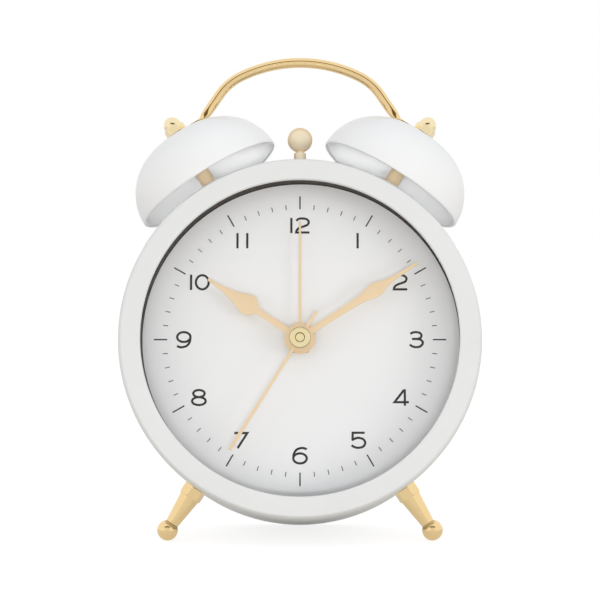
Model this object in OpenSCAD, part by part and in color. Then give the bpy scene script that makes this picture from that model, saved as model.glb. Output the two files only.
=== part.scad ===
// Twin bell alarm clock: a painted drum case leaning back on two ball feet and its own rear edge.
// Millimetres. The clock is drawn about its own axis, then leaned back and set on the table.
// Drawing frame: x to the right, y down the dial, z from the bezel's front face to the back.

/* [Stance] */
// Backward lean of the whole clock, in degrees
lean = 12; // [6:0.5:18]
// Angle of a foot's ball from the bottom of the dial, in degrees
foot_place = 35; // [30:0.5:38]
// Tilt of each foot from the dial's vertical, in degrees
foot_tilt = 33.5; // [20:0.1:40]
// Turn of a foot's hexagon about its own axis, in degrees
foot_turn = 12; // [0:1:30]
// Depth of the feet behind the bezel's front face
foot_depth = 16; // [16:0.5:22]
// Diameter of a foot's ball
foot_ball_d = 6.6; // [5:0.1:9]
// Width across the flats of a foot's hexagon
foot_flats = 6.6; // [5.5:0.1:9]
// Diameter of the taper where it meets the ball
foot_neck = 4.2; // [3:0.1:5]
// Length of the tapered part of a foot
foot_taper = 9.7; // [7:0.1:11]

/* [Case] */
// Outside diameter of the front bezel
bezel_d = 115; // [108:0.5:122]
// Depth of the bezel with its skirt
bezel_depth = 9; // [8:0.5:11]
// Rounding of the bezel's outer front edge
bezel_round = 1.6; // [0.8:0.1:2.2]
// Rounding of the bezel's window edge
window_round = 0.5; // [0.2:0.1:0.7]
// Width of the bezel's front face, from its outer edge to the window
bezel_face = 7.2; // [6.5:0.1:9]
// Thickness of the bezel's lip in front of the lens
lip_t = 1.5; // [1.2:0.1:2]
// Step from the bezel down to the drum
drum_inset = 0.5; // [0.2:0.1:1]
// Wall of the drum
drum_wall = 1.4; // [1.2:0.1:2]
// Depth of the case from the bezel's front to the drum's rear edge
case_depth = 47; // [46:0.5:56]
// Rounding of the drum's rear edge
rear_round = 1.2; // [0.5:0.1:1.2]
// Thickness of the lens
glass_t = 1.5; // [1:0.1:2]
// Depth of the dial's face behind the bezel's front
dial_depth = 11; // [10.6:0.1:13]
// Thickness of the dial
dial_t = 1; // [0.6:0.1:1.5]

/* [Bells] */
// Diameter of a bell's lip
bell_d = 50.6; // [44:0.2:54]
// Height of a bell from lip to crown
bell_h = 19.2; // [18:0.1:21]
// Radius of the curve of a bell's side
bell_side_r = 18.6; // [16:0.1:18.9]
// Wall of a bell
bell_wall = 1.2; // [0.8:0.1:1.6]
// Angle of a bell's place from the top of the drum, in degrees
bell_place = 29; // [27:0.5:34]
// Tilt of a bell's axis from the dial's vertical, in degrees
bell_tilt = 32.2; // [28:0.1:38]
// Height of the centre of a bell's lip over the drum
bell_rise = 4.7; // [3.5:0.1:8]
// Depth of the bells behind the bezel's front
bell_depth = 24; // [20:0.5:28]
// Diameter of a bell's post
post_d = 4.8; // [4:0.1:6]
// Diameter of the post's threaded ends
stud_d = 3; // [2.5:0.1:3.4]
// Width across the flats of a cap nut
nut_flats = 6.3; // [5.5:0.1:8]
// Height of a cap nut's hexagon
nut_hex_h = 2.7; // [1.8:0.1:3.2]
// Diameter of a cap nut's dome
nut_dome_d = 6; // [5:0.1:6.2]

/* [Handle] */
// Diameter of the handle's rod
rod_d = 3.3; // [2.6:0.1:4]
// Height of the rod's centre line over the drum, at the top of the arch
handle_rise = 38.3; // [34:0.1:44]
// Radius of the arch
arch_r = 43.5; // [36:0.5:50]
// Half angle of the arch, in degrees
arch_half = 27; // [22:0.5:32]
// Radius of the shoulders
shoulder_r = 18.4; // [14:0.2:22]
// Tilt of the legs from the dial's vertical, in degrees
leg_tilt = 33.7; // [30:0.1:37]
// Radius of the bend from a leg to its lug
lug_bend_r = 4; // [3:0.1:6]
// Thickness of the flattened lugs
lug_t = 1; // [0.8:0.1:2]
// Width of the flattened lugs
lug_w = 6; // [5.5:0.1:7]

/* [Hammer] */
// Diameter of the hammer's ball
hammer_ball_d = 8.2; // [6:0.1:9]
// Height of the ball's centre over the drum
hammer_rise = 11.8; // [11:0.1:14]
// Diameter of the hammer's rod
hammer_rod_d = 2; // [1.5:0.1:2.4]
// Swing of the hammer to each side, in degrees
hammer_swing = 7; // [4:0.1:7.2]
// Height of the pivot over the movement
pivot_rise = 11; // [10:0.1:13]
// Diameter of the pivot pin
pivot_d = 2; // [1.6:0.1:2.4]
// Distance of the magnet from the pivot's axis
magnet_reach = 13.5; // [12:0.1:15]
// Diameter of the magnet's winding
magnet_coil_d = 9.6; // [8:0.1:10.4]
// Diameter of the magnet's core
magnet_core_d = 4; // [3:0.1:5]

/* [Hands] */
// Clockwise angle of the hour hand from twelve, in degrees
hour_angle = 303; // [0:0.1:360]
// Clockwise angle of the minute hand, in degrees
minute_angle = 57.2; // [0:0.1:360]
// Clockwise angle of the second hand, in degrees
second_angle = 211.9; // [0:0.1:360]
// Clockwise angle of the alarm hand, in degrees
alarm_angle = 0; // [0:0.1:360]
// Thickness of the hands
hand_t = 0.5; // [0.4:0.05:0.6]
// Length of the hour hand
hour_len = 35; // [30:0.1:38]
// Half width of the hour hand's spade
hour_spade = 3.4; // [2:0.1:4.5]
// Half width of the hour hand's arm
hour_arm = 0.8; // [0.5:0.05:1.2]
// Length of the minute hand
minute_len = 44.4; // [40:0.1:46.5]
// Half width of the minute hand's spade
minute_spade = 2.45; // [1.6:0.05:3.5]
// Half width of the minute hand's arm
minute_arm = 1; // [0.5:0.05:1.3]
// Length of the second hand
second_len = 41.8; // [36:0.1:45]
// Length of the second hand's tail
second_tail = 9.9; // [6:0.1:12]
// Half width of the second hand
second_half = 0.55; // [0.3:0.05:0.8]
// Length of the alarm hand
alarm_len = 37.6; // [30:0.1:42]
// Half width of the alarm hand
alarm_half = 0.6; // [0.3:0.05:0.9]
// Diameter of the hour hand's boss
hub_d = 9.8; // [8.4:0.1:12]
// Diameter of the cap on the second hand
cap_d = 6.7; // [5:0.1:8]

/* [Movement] */
// Half width of the movement's square housing
movement_half = 27; // [26:0.5:29]
// Wall of the movement's housing
movement_wall = 1.2; // [1:0.1:1.6]
// Depth of the movement's housing behind the dial
movement_depth = 15.4; // [15.2:0.1:16]
// Tooth size of the motion work: pitch diameter over tooth count
wheel_module = 0.6; // [0.58:0.005:0.62]
// Tooth size of the step motor's wheels
motor_module = 0.4; // [0.39:0.005:0.41]
// Teeth of the cannon pinion
cannon_teeth = 10; // [10:10:10]
// Teeth of the hour wheel
hour_teeth = 32; // [32:32:32]
// Teeth of the alarm hand's wheel
alarm_teeth = 26; // [26:26:26]
// Teeth of the second hand's wheel
second_teeth = 40; // [40:40:40]
// Radial clearance of a turning fit
turn_gap = 0.05; // [0.03:0.01:0.08]
// Radius of the second hand's arbor
arbor_r = 0.5; // [0.4:0.05:0.55]
// Wall of the nested pipes
pipe_wall = 0.6; // [0.5:0.05:0.65]
// Radius of the arbors that carry the knobs
knob_arbor_r = 0.9; // [0.7:0.05:1]

/* [Back] */
// Thickness of the back cover
cover_t = 1.8; // [1.5:0.1:2.4]
// Depth of the back cover's face inside the drum's rear edge
cover_recess = 0.6; // [0.4:0.1:1.5]
// Diameter of the time and alarm knobs
knob_d = 15; // [12:0.5:18]
// Height of the knobs
knob_h = 7; // [5:0.5:8]
// Travel of the alarm switch
switch_travel = 4; // [3:0.1:6]
// Diameter of the battery
battery_d = 14.2; // [13.8:0.1:14.5]
// Length of the battery with its nub
battery_l = 50.5; // [49:0.1:51]
// Thickness of the battery door
door_t = 1.3; // [1:0.1:1.4]

/* [Hidden] */
$fn = 72;
// Half of a hexagon's width across corners over half its width across flats
hex_corner = 1 / cos(30);
// Radial room of pieces that are set into each other
seat_gap = 0.05;
cut_over = 1;

bezel_r = bezel_d / 2;
window_r = bezel_r - bezel_face;
drum_r = bezel_r - drum_inset;
drum_in = drum_r - drum_wall;
glass_r = window_r + 1.9;
glass_back = lip_t + glass_t;
shoulder_depth = glass_back + 1.2;
skirt_r = bezel_r - 1.5;
spigot_r = skirt_r - seat_gap;
spigot_in = spigot_r - 1.5;
dial_r = spigot_in - 0.1;
dial_back = dial_depth + dial_t;
flange_t = 0.8;
flange_in = window_r - 0.3;
// Height of the clock's axis over the table at the bezel's front face
axis_height = (drum_r - rear_round) * cos(lean) + (case_depth - rear_round) * sin(lean) + rear_round;

foot_ball_r = foot_ball_d / 2;
foot_y = (axis_height - foot_depth * sin(lean) - foot_ball_r) / cos(lean);
foot_x = foot_y * tan(foot_place);
foot_run = run_to_drum(foot_x, foot_y, foot_tilt);
foot_neck_z = sqrt(foot_ball_r * foot_ball_r - foot_neck * foot_neck / 4);
foot_hex_z = foot_neck_z + foot_taper;
// The taper starts inside the ball and ends a little inside the hexagon's flats
foot_top_r = foot_flats / 2 - 0.05;
foot_root_z = foot_neck_z - 0.5;
foot_root_r = foot_neck / 2 - 0.5 * (foot_top_r - foot_neck / 2) / foot_taper;
foot_end = foot_run + 2;

bell_r = bell_d / 2;
bell_core = bell_r - bell_side_r;
bell_x = (drum_r + bell_rise) * sin(bell_place);
bell_y = (drum_r + bell_rise) * cos(bell_place);
bell_flat = 0.1;
crown_z = bell_h - bell_flat;
post_run = run_to_drum(bell_x, bell_y, bell_tilt);
post_r = post_d / 2;
stud_r = stud_d / 2;
nut_z = crown_z + lug_t;
nut_dome_r = nut_dome_d / 2;
saddle_nut_h = 3;
// Length of a stud inside the drum's skin
stud_in = drum_wall + saddle_nut_h + 0.5;
// Height at which the inside of the bell's crown meets the rim of the post
crown_in_z = bell_h - bell_wall;
crown_in_r = crown_radius(bell_side_r - bell_wall, crown_in_z);
post_top = crown_in_z - crown_in_r + sqrt(crown_in_r * crown_in_r - post_r * post_r);

rod_r = rod_d / 2;
arch_y = drum_r + handle_rise - arch_r;
shoulder_x = (arch_r - shoulder_r) * sin(arch_half);
shoulder_y = arch_y + (arch_r - shoulder_r) * cos(arch_half);
leg_x = shoulder_x + shoulder_r * cos(leg_tilt);
leg_y = shoulder_y + shoulder_r * sin(leg_tilt);
leg_height = (leg_x - bell_x) * sin(bell_tilt) + (leg_y - bell_y) * cos(bell_tilt);
lug_mid = crown_z + lug_t / 2;
leg_run = (leg_height - lug_mid) / cos(leg_tilt + bell_tilt);
lug_turn = 90 - leg_tilt - bell_tilt;
bend_run = lug_bend_r * tan(lug_turn / 2);
lug_fade = 1.2;
// The bends are a hair thinner than the straight parts and run a little way into them
bend_rod_r = rod_r - 0.03;
bend_over = 1.5;
// Distance of the leg's meeting point with the lug from the bell's axis
lug_reach = (leg_y - leg_run * cos(leg_tilt) - bell_y) * sin(bell_tilt)
    - (leg_x + leg_run * sin(leg_tilt) - bell_x) * cos(bell_tilt);

hammer_y = drum_r + hammer_rise;
hammer_ball_r = hammer_ball_d / 2;
hammer_rod_r = hammer_rod_d / 2;
pivot_y = movement_half + pivot_rise;
pivot_r = pivot_d / 2;
hub_half = 3.5;
hammer_hub_r = 3;
ear_t = 1.2;
ear_gap = 0.3;
ear_in = hub_half + ear_gap;
bracket_t = 1.2;
ear_r = 5;
armature_t = 2;
armature_half = 2.5;
armature_end = magnet_reach + 4.5;
core_top = pivot_y - armature_t / 2 - armature_end * tan(hammer_swing) - 0.5;
slot_half = (drum_r - pivot_y) * tan(hammer_swing) + hammer_rod_r + 0.9;
slot_depth = hammer_rod_d + 1.6;

cap_front = glass_back + 0.4;
second_front = cap_front + 1.5;
minute_front = second_front + hand_t + 0.4;
hour_front = minute_front + hand_t + 0.7;
alarm_front = hour_front + hand_t + 0.7;
minute_in = arbor_r + turn_gap;
minute_r = minute_in + pipe_wall;
hour_in = minute_r + turn_gap;
hour_r = hour_in + pipe_wall;
alarm_in = hour_r + turn_gap;
alarm_r = alarm_in + pipe_wall;
bush_in = alarm_r + turn_gap;
bush_r = bush_in + 1;
bush_front = dial_depth - 1.5;

move_front = dial_back;
move_floor = move_front + movement_wall;
move_back = move_front + movement_depth;
plate_back = move_back + movement_wall;
wheel_t = 1.3;
alarm_wheel_z = move_floor + 0.4;
hour_wheel_z = alarm_wheel_z + wheel_t + 1;
cannon_z = hour_wheel_z + wheel_t + 1;
stator_z = cannon_z + wheel_t + 0.4;
stator_t = 1.2;
second_wheel_z = stator_z + stator_t + 1.3;
setting_teeth = 3 * cannon_teeth;
setting_leaves = hour_teeth / 4;
setting_x = wheel_module * (cannon_teeth + setting_teeth) / 2;
alarm_leaves = alarm_teeth / 2;
alarm_x = wheel_module * (alarm_teeth + alarm_leaves) / 2;
rotor_leaves = second_teeth / 5;
rotor_y = motor_module * (second_teeth + rotor_leaves) / 2;
rotor_r = 2.6;
rotor_hole = rotor_r + 0.4;
stator_low = rotor_y - rotor_hole - 1.6;
stator_leg = 6;
yoke_half = 1.8;
coil_y = rotor_y + 0.4 * movement_half;
stator_top = coil_y + yoke_half;
stator_half = 0.74 * movement_half;
stator_post_x = stator_half - 2.5;
motor_coil_r = 4;
motor_coil_half = 0.55 * stator_half;
coil_flange = 1;
board_half = stator_half;
board_y = 0.48 * movement_half;
board_w = 11;
board_t = 1.2;

cover_back = case_depth - cover_recess;
cover_front = cover_back - cover_t;
cover_r = drum_in - 0.1;
screw_place = drum_in - 2.6;
screw_boss_r = 3.2;
screw_r = 1.25;
screw_angles = [60, 180, 300];
knob_front = cover_back + 0.5;
box_wall = 1;
box_in_l = battery_l + 3.1;
box_in_w = battery_d + 0.8;
box_l = box_in_l + 2 * box_wall;
box_w = box_in_w + 2 * box_wall;
box_y = sqrt(pow(cover_r - 0.7, 2) - pow(box_l / 2, 2)) - box_w / 2;
door_back = cover_back;
door_front = door_back - door_t;
door_l = box_in_l + 1.2;
door_w = box_in_w + 1.2;
battery_z = door_front - 0.3 - battery_d / 2;
box_front = battery_z - battery_d / 2 - 0.3 - box_wall;
switch_x = 0;
switch_y = 24;
switch_w = 3.6;
switch_h = 3;
contact_w = 10;
contact_t = 0.5;

// Front and rear ends of the leaned clock, from which it is centred on its footprint
front_end = bezel_round * cos(lean) - (bezel_r - bezel_round) * sin(lean) - bezel_round;
bell_spin = sqrt(pow(cos(lean), 2) + pow(sin(bell_tilt) * sin(lean), 2));
bell_rear = bell_depth * cos(lean) + bell_y * sin(lean) + bell_core * bell_spin + bell_side_r;
knob_rear = (knob_front + knob_h) * cos(lean) + knob_d / 2 * sin(lean);
stand_y = -(front_end + max(bell_rear, knob_rear)) / 2;

// Distance from a point outside the drum to the drum's skin, going inward along a tilted line
function run_to_drum(x, y, tilt) =
    let (along = x * sin(tilt) + y * cos(tilt))
    along - sqrt(along * along - (x * x + y * y - drum_r * drum_r));

// Radius of a bell's crown that meets its side smoothly
function crown_radius(side_r, top) =
    (bell_core * bell_core + top * top - side_r * side_r) / (2 * (top - side_r));

// Outline of a wheel with straight roots and pointed tooth tips
function tooth(teeth, size) =
    let (pitch = teeth * size / 2, step = 360 / teeth)
    [[pitch - 1.15 * size, -0.21 * step], [pitch, -0.2 * step], [pitch + 0.45 * size, -0.14 * step],
     [pitch + 0.8 * size, -0.05 * step], [pitch + 0.8 * size, 0.05 * step],
     [pitch + 0.45 * size, 0.14 * step], [pitch, 0.2 * step], [pitch - 1.15 * size, 0.21 * step]];
function wheel_points(teeth, size) =
    [for (i = [0:teeth - 1], p = tooth(teeth, size))
        [p[0] * cos(360 * i / teeth + p[1]), p[0] * sin(360 * i / teeth + p[1])]];

// Frames and shared shapes

module stand() {
    translate([0, stand_y, axis_height]) rotate([-90 - lean, 0, 0]) children();
}

// Along a bell's axis: z outward from the centre of the lip, y to the back
module on_bell(side) {
    translate([side * bell_x, -bell_y, bell_depth]) rotate([0, 0, side * bell_tilt]) rotate([90, 0, 0])
        children();
}

// Along a foot's axis: z inward from the centre of the ball
module on_foot(side) {
    translate([side * foot_x, foot_y, foot_depth]) rotate([0, 0, -side * foot_tilt]) rotate([90, 0, 0])
        children();
}

module tube(outer, inner, length) {
    difference() {
        cylinder(r = outer, h = length);
        translate([0, 0, -cut_over]) cylinder(r = inner, h = length + 2 * cut_over);
    }
}

module hexagon(flats, height) {
    cylinder(r = flats / 2 * hex_corner, h = height, $fn = 6);
}

module toothed(teeth, size, bore) {
    linear_extrude(wheel_t) difference() {
        polygon(wheel_points(teeth, size));
        circle(r = bore);
    }
}

// Half section of a bell: a rounded side that runs into a flatter crown
module bell_section(inset) {
    side_r = bell_side_r - inset;
    top = bell_h - inset;
    crown_r = crown_radius(side_r, top);
    meet = bell_core * crown_r / (crown_r - side_r);
    intersection() {
        square([bell_r, top]);
        union() {
            translate([bell_core, 0]) circle(r = side_r);
            intersection() {
                translate([0, top - crown_r]) circle(r = crown_r, $fn = 180);
                square([meet, top]);
            }
        }
    }
}

// Flat hand that points to twelve, drawn from pairs of distance and half width
module hand(stations, boss_r, bore) {
    last = len(stations) - 1;
    left_side = [for (s = stations) [-s[1], -s[0]]];
    right_side = [for (i = [last:-1:0]) [stations[i][1], -stations[i][0]]];
    linear_extrude(hand_t) difference() {
        union() {
            polygon(concat(left_side, right_side));
            circle(r = boss_r);
        }
        circle(r = bore);
    }
}

// Knob with finger grooves round its rim, on an arbor along z
module knob() {
    groove_count = 18;
    difference() {
        union() {
            cylinder(d = knob_d, h = knob_h - 1);
            cylinder(d = knob_d - 2, h = knob_h);
        }
        for (i = [0:groove_count - 1]) rotate([0, 0, i * 360 / groove_count])
            translate([knob_d / 2 + 0.3, 0, 1.2]) cylinder(r = 0.9, h = knob_h, $fn = 24);
        translate([0, 0, -cut_over]) cylinder(r = knob_arbor_r + seat_gap, h = knob_h - 1.5 + cut_over);
    }
}

// Case

module case_drum() {
    color("#f2f2f0") difference() {
        union() {
            rotate_extrude($fn = 180) {
                translate([spigot_in, shoulder_depth])
                    square([spigot_r - spigot_in, dial_back + flange_t / 2 - shoulder_depth]);
                translate([spigot_in, bezel_depth]) square([drum_r - spigot_in, 1.5]);
                translate([drum_in, bezel_depth]) square([drum_wall, case_depth - rear_round - bezel_depth]);
                translate([drum_in, bezel_depth])
                    square([drum_wall - rear_round, case_depth - bezel_depth]);
                intersection() {
                    translate([drum_r - rear_round, case_depth - rear_round]) circle(r = rear_round);
                    translate([drum_in, bezel_depth]) square([drum_wall, case_depth]);
                }
                translate([flange_in, dial_back]) square([drum_in + 0.5 - flange_in, flange_t]);
            }
            for (a = screw_angles) rotate([0, 0, a]) translate([0, -screw_place, cover_front - 9])
                cylinder(r = screw_boss_r, h = 9);
        }
        for (a = screw_angles) rotate([0, 0, a]) translate([0, -screw_place, cover_front - 7])
            cylinder(r = screw_r + seat_gap, h = 8);
        translate([-slot_half, -drum_r - cut_over, bell_depth - slot_depth / 2])
            cube([2 * slot_half, 2 * drum_wall + cut_over, slot_depth]);
        for (side = [-1, 1]) {
            on_bell(side) translate([0, 0, -post_run - stud_in])
                cylinder(r = stud_r + seat_gap, h = 2 * stud_in);
            on_foot(side) translate([0, 0, foot_run - stud_in])
                cylinder(r = stud_r + seat_gap, h = 2 * stud_in);
        }
    }
}

module front_bezel() {
    color("#f4f4f2") rotate_extrude($fn = 180) difference() {
        union() {
            translate([window_r, 0]) square([window_round, lip_t]);
            intersection() {
                translate([window_r + window_round, window_round]) circle(r = window_round);
                translate([window_r, 0]) square(window_round);
            }
            translate([window_r + window_round, 0])
                square([bezel_r - bezel_round - window_r - window_round, bezel_depth]);
            translate([bezel_r - bezel_round, bezel_round])
                square([bezel_round, bezel_depth - bezel_round]);
            translate([bezel_r - bezel_round, bezel_round]) circle(r = bezel_round);
        }
        difference() {
            translate([window_r - cut_over, -cut_over]) square(window_round + cut_over);
            translate([window_r + window_round, window_round]) circle(r = window_round);
        }
        translate([window_r - cut_over, lip_t]) square([glass_r + 0.1 - window_r + cut_over, bezel_depth]);
        translate([window_r - cut_over, shoulder_depth]) square([skirt_r - window_r + cut_over, bezel_depth]);
    }
}

module glass_lens() {
    color("#dfeaf0", 0.3) translate([0, 0, lip_t]) cylinder(r = glass_r, h = glass_t, $fn = 180);
}

module dial_ring() {
    color("#4a423a") translate([0, 0, glass_back])
        tube(glass_r, window_r + 0.2, dial_depth - glass_back, $fn = 180);
}

module dial() {
    color("#f0eeee") translate([0, 0, dial_depth]) tube(dial_r, bush_r + 0.1, dial_t, $fn = 180);
}

// Moulded back with the battery box behind its lower half
module back_cover() {
    color("#ececea") difference() {
        union() {
            translate([0, 0, cover_front]) cylinder(r = cover_r, h = cover_t, $fn = 180);
            translate([-box_l / 2, box_y - box_w / 2, box_front])
                cube([box_l, box_w, cover_front - box_front + 0.5]);
        }
        translate([-box_in_l / 2, box_y - box_in_w / 2, box_front + box_wall])
            cube([box_in_l, box_in_w, case_depth]);
        translate([-door_l / 2 - 0.15, box_y - door_w / 2 - 0.15, door_front])
            cube([door_l + 0.3, door_w + 0.3, case_depth]);
        translate([0, box_y - box_w / 2, cover_back]) rotate([90, 0, 0]) cylinder(r = 5, h = 3, center = true);
        for (x = [setting_x, -alarm_x]) translate([x, 0, cover_front - cut_over])
            cylinder(r = knob_arbor_r + 0.5, h = cover_t + 2 * cut_over);
        for (a = screw_angles) rotate([0, 0, a]) translate([0, -screw_place, cover_front - cut_over])
            cylinder(r = screw_r + 0.1, h = cover_t + 2 * cut_over);
        translate([switch_x - switch_w / 2 - 0.3, -switch_y - switch_h / 2 - 0.3, cover_front - cut_over])
            cube([switch_w + switch_travel + 0.6, switch_h + 0.6, cover_t + 2 * cut_over]);
    }
}

module back_screws() {
    color("#c9c9c6") for (a = screw_angles) rotate([0, 0, a]) translate([0, -screw_place, 0]) difference() {
        union() {
            translate([0, 0, cover_front - 6]) cylinder(r = screw_r, h = 6 + cover_t);
            translate([0, 0, cover_back]) cylinder(r = 2.2, h = 0.9);
            translate([0, 0, cover_back + 0.9]) cylinder(r1 = 2.2, r2 = 1.4, h = 0.5);
        }
        for (turn = [0, 90]) rotate([0, 0, turn]) translate([-1.5, -0.3, cover_back + 0.6]) cube([3, 0.6, 2]);
    }
}

// Bells and handle

module bell(side) {
    color("#eef0f1") on_bell(side) difference() {
        rotate_extrude($fn = 120) difference() {
            bell_section(0);
            bell_section(bell_wall);
            translate([0, crown_z]) square([bell_r, 1]);
            square([stud_r + seat_gap, bell_h]);
        }
    }
}

module bell_left() {
    bell(-1);
}

module bell_right() {
    bell(1);
}

module bell_post(side) {
    color("#d9b566") difference() {
        on_bell(side) {
            translate([0, 0, -post_run - 2]) cylinder(r = post_r, h = post_run + 2 + post_top);
            translate([0, 0, -post_run - stud_in])
                cylinder(r = stud_r, h = post_run + stud_in + nut_z + nut_hex_h - 0.5);
        }
        difference() {
            cylinder(r = drum_r, h = case_depth, $fn = 180);
            on_bell(side) translate([0, 0, -post_run - 2 * stud_in]) cylinder(r = stud_r, h = 4 * stud_in);
        }
    }
}

module bell_post_left() {
    bell_post(-1);
}

module bell_post_right() {
    bell_post(1);
}

// Nuts whose seats follow the inside of the drum
module post_nuts() {
    color("#d2b060") for (side = [-1, 1]) intersection() {
        on_bell(side) translate([0, 0, -post_run - drum_wall - saddle_nut_h]) difference() {
            hexagon(nut_flats, 2 * saddle_nut_h);
            translate([0, 0, -cut_over]) cylinder(r = stud_r + seat_gap, h = 2 * (saddle_nut_h + cut_over));
        }
        cylinder(r = drum_in, h = case_depth, $fn = 180);
    }
}

// Domed cap nut over the handle's lug
module bell_nut(side) {
    color("#e3c27a") on_bell(side) translate([0, 0, nut_z]) difference() {
        union() {
            hexagon(nut_flats, nut_hex_h);
            intersection() {
                translate([0, 0, nut_hex_h]) sphere(r = nut_dome_r);
                translate([0, 0, nut_hex_h]) cylinder(r = nut_dome_r, h = nut_dome_r);
            }
        }
        translate([0, 0, -cut_over]) cylinder(r = stud_r + seat_gap, h = nut_hex_h + cut_over);
    }
}

module bell_nut_left() {
    bell_nut(-1);
}

module bell_nut_right() {
    bell_nut(1);
}

// Right half of the rod, from the top of the arch to the lug
module handle_half() {
    translate([0, -arch_y, bell_depth]) rotate([0, 0, -90]) rotate_extrude(angle = arch_half)
        translate([arch_r, 0]) circle(r = rod_r, $fn = 32);
    translate([shoulder_x, -shoulder_y, bell_depth]) rotate([0, 0, arch_half - 90 - bend_over])
        rotate_extrude(angle = 90 - leg_tilt - arch_half + 2 * bend_over)
        translate([shoulder_r, 0]) circle(r = bend_rod_r, $fn = 32);
    translate([leg_x, -leg_y, bell_depth]) rotate([0, 0, -leg_tilt]) rotate([-90, 0, 0])
        cylinder(r = rod_r, h = leg_run - bend_run, $fn = 32);
    on_bell(1) difference() {
        union() {
            translate([bend_run - lug_reach, 0, lug_mid + lug_bend_r]) rotate([90, 0, 0])
                rotate([0, 0, -90 - lug_turn - bend_over]) rotate_extrude(angle = lug_turn + 2 * bend_over)
                translate([lug_bend_r, 0]) circle(r = bend_rod_r, $fn = 32);
            translate([bend_run - lug_reach, 0, lug_mid]) rotate([0, 90, 0])
                cylinder(r = rod_r, h = lug_fade, $fn = 32);
            translate([bend_run - lug_reach + lug_fade, 0, lug_mid]) sphere(r = rod_r, $fn = 32);
            translate([0, 0, crown_z]) cylinder(r = lug_w / 2, h = lug_t, $fn = 48);
            translate([bend_run - lug_reach, -lug_w / 2, crown_z]) cube([lug_reach - bend_run, lug_w, lug_t]);
        }
        translate([-bell_d, -bell_d / 2, crown_z - 10]) cube([2 * bell_d, bell_d, 10]);
        translate([0, 0, crown_z - cut_over]) cylinder(r = stud_r + seat_gap, h = lug_t + 2 * cut_over);
    }
}

module handle() {
    color("#e0bd72") {
        handle_half();
        mirror([1, 0, 0]) handle_half();
    }
}

// Feet

module foot(side) {
    color("#dfbc70") difference() {
        on_foot(side) {
            sphere(r = foot_ball_r);
            intersection() {
                rotate([0, 0, 30 + side * foot_turn]) hexagon(foot_flats, foot_end);
                rotate_extrude() polygon([[0, foot_root_z], [foot_root_r, foot_root_z], [foot_top_r, foot_hex_z],
                    [foot_top_r + foot_end - foot_hex_z, foot_end], [0, foot_end]]);
            }
            cylinder(r = stud_r, h = foot_run + stud_in);
        }
        difference() {
            cylinder(r = drum_r, h = case_depth, $fn = 180);
            on_foot(side) cylinder(r = stud_r, h = foot_run + 2 * stud_in);
        }
    }
}

module foot_left() {
    foot(-1);
}

module foot_right() {
    foot(1);
}

module foot_nuts() {
    color("#d2b060") for (side = [-1, 1]) intersection() {
        on_foot(side) translate([0, 0, foot_run - saddle_nut_h]) difference() {
            hexagon(nut_flats, drum_wall + 2 * saddle_nut_h);
            translate([0, 0, -cut_over])
                cylinder(r = stud_r + seat_gap, h = drum_wall + 2 * (saddle_nut_h + cut_over));
        }
        cylinder(r = drum_in, h = case_depth, $fn = 180);
    }
}

// Movement

module movement_housing() {
    room_half = movement_half - movement_wall;
    color("#2c2c2e") difference() {
        union() {
            translate([-movement_half, -movement_half, move_front])
                cube([2 * movement_half, 2 * movement_half, movement_depth]);
            translate([0, 0, bush_front]) cylinder(r = bush_r, h = move_front - bush_front + 0.1);
        }
        difference() {
            translate([-room_half, -room_half, move_floor])
                cube([2 * room_half, 2 * room_half, movement_depth]);
            for (x = [-stator_post_x, stator_post_x]) translate([x, -coil_y, move_floor - cut_over])
                cylinder(r = 2, h = stator_z - move_floor + cut_over);
        }
        translate([0, 0, bush_front - cut_over]) cylinder(r = bush_in, h = movement_depth);
        for (x = [setting_x, -alarm_x]) translate([x, 0, move_front - cut_over])
            cylinder(r = knob_arbor_r + turn_gap, h = movement_wall + 2 * cut_over);
    }
}

module movement_cover() {
    color("#353538") translate([0, 0, move_back]) difference() {
        translate([-movement_half, -movement_half, 0])
            cube([2 * movement_half, 2 * movement_half, movement_wall]);
        for (x = [setting_x, -alarm_x]) translate([x, 0, -cut_over])
            cylinder(r = knob_arbor_r + turn_gap, h = movement_wall + 2 * cut_over);
        translate([0, 0, -cut_over]) cylinder(r = arbor_r + turn_gap, h = movement_wall + 2 * cut_over);
        translate([0, -rotor_y, -cut_over]) cylinder(r = arbor_r + turn_gap, h = movement_wall + 2 * cut_over);
    }
}

module dial_nut() {
    color("#d8b76c") translate([0, 0, bush_front + 0.1]) difference() {
        hexagon(2 * bush_r + 1.6, dial_depth - bush_front - 0.1);
        translate([0, 0, -cut_over]) cylinder(r = bush_r + seat_gap, h = dial_depth);
    }
}

module stator() {
    color("#8d9196") translate([0, 0, stator_z]) linear_extrude(stator_t) difference() {
        translate([-stator_half, -stator_top]) square([2 * stator_half, stator_top - stator_low]);
        translate([-stator_half + stator_leg, -coil_y + yoke_half])
            square([2 * (stator_half - stator_leg), coil_y - rotor_y - stator_leg]);
        translate([0, -rotor_y]) circle(r = rotor_hole);
    }
}

module motor_coil() {
    coil_l = 2 * motor_coil_half;
    color("#b06a35") translate([-motor_coil_half, -coil_y, stator_z + stator_t / 2]) rotate([0, 90, 0])
        difference() {
            union() {
                cylinder(r = motor_coil_r - 0.5, h = coil_l);
                cylinder(r = motor_coil_r, h = coil_flange);
                translate([0, 0, coil_l - coil_flange]) cylinder(r = motor_coil_r, h = coil_flange);
            }
            translate([-stator_t / 2 - seat_gap, -yoke_half - seat_gap, -cut_over])
                cube([stator_t + 2 * seat_gap, 2 * (yoke_half + seat_gap), coil_l + 2 * cut_over]);
        }
}

module circuit_board() {
    chip_r = board_w / 4;
    color("#2f6b45") translate([0, board_y, move_back - board_t]) {
        translate([-board_half, 0, 0]) cube([2 * board_half, board_w, board_t]);
        translate([board_half / 5, board_w / 3, -board_t]) cylinder(r = chip_r, h = board_t + 0.1);
        translate([-0.7 * board_half, board_w / 5, -2]) cube([0.4 * board_half, 0.4 * board_w, 2.1]);
    }
}

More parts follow.
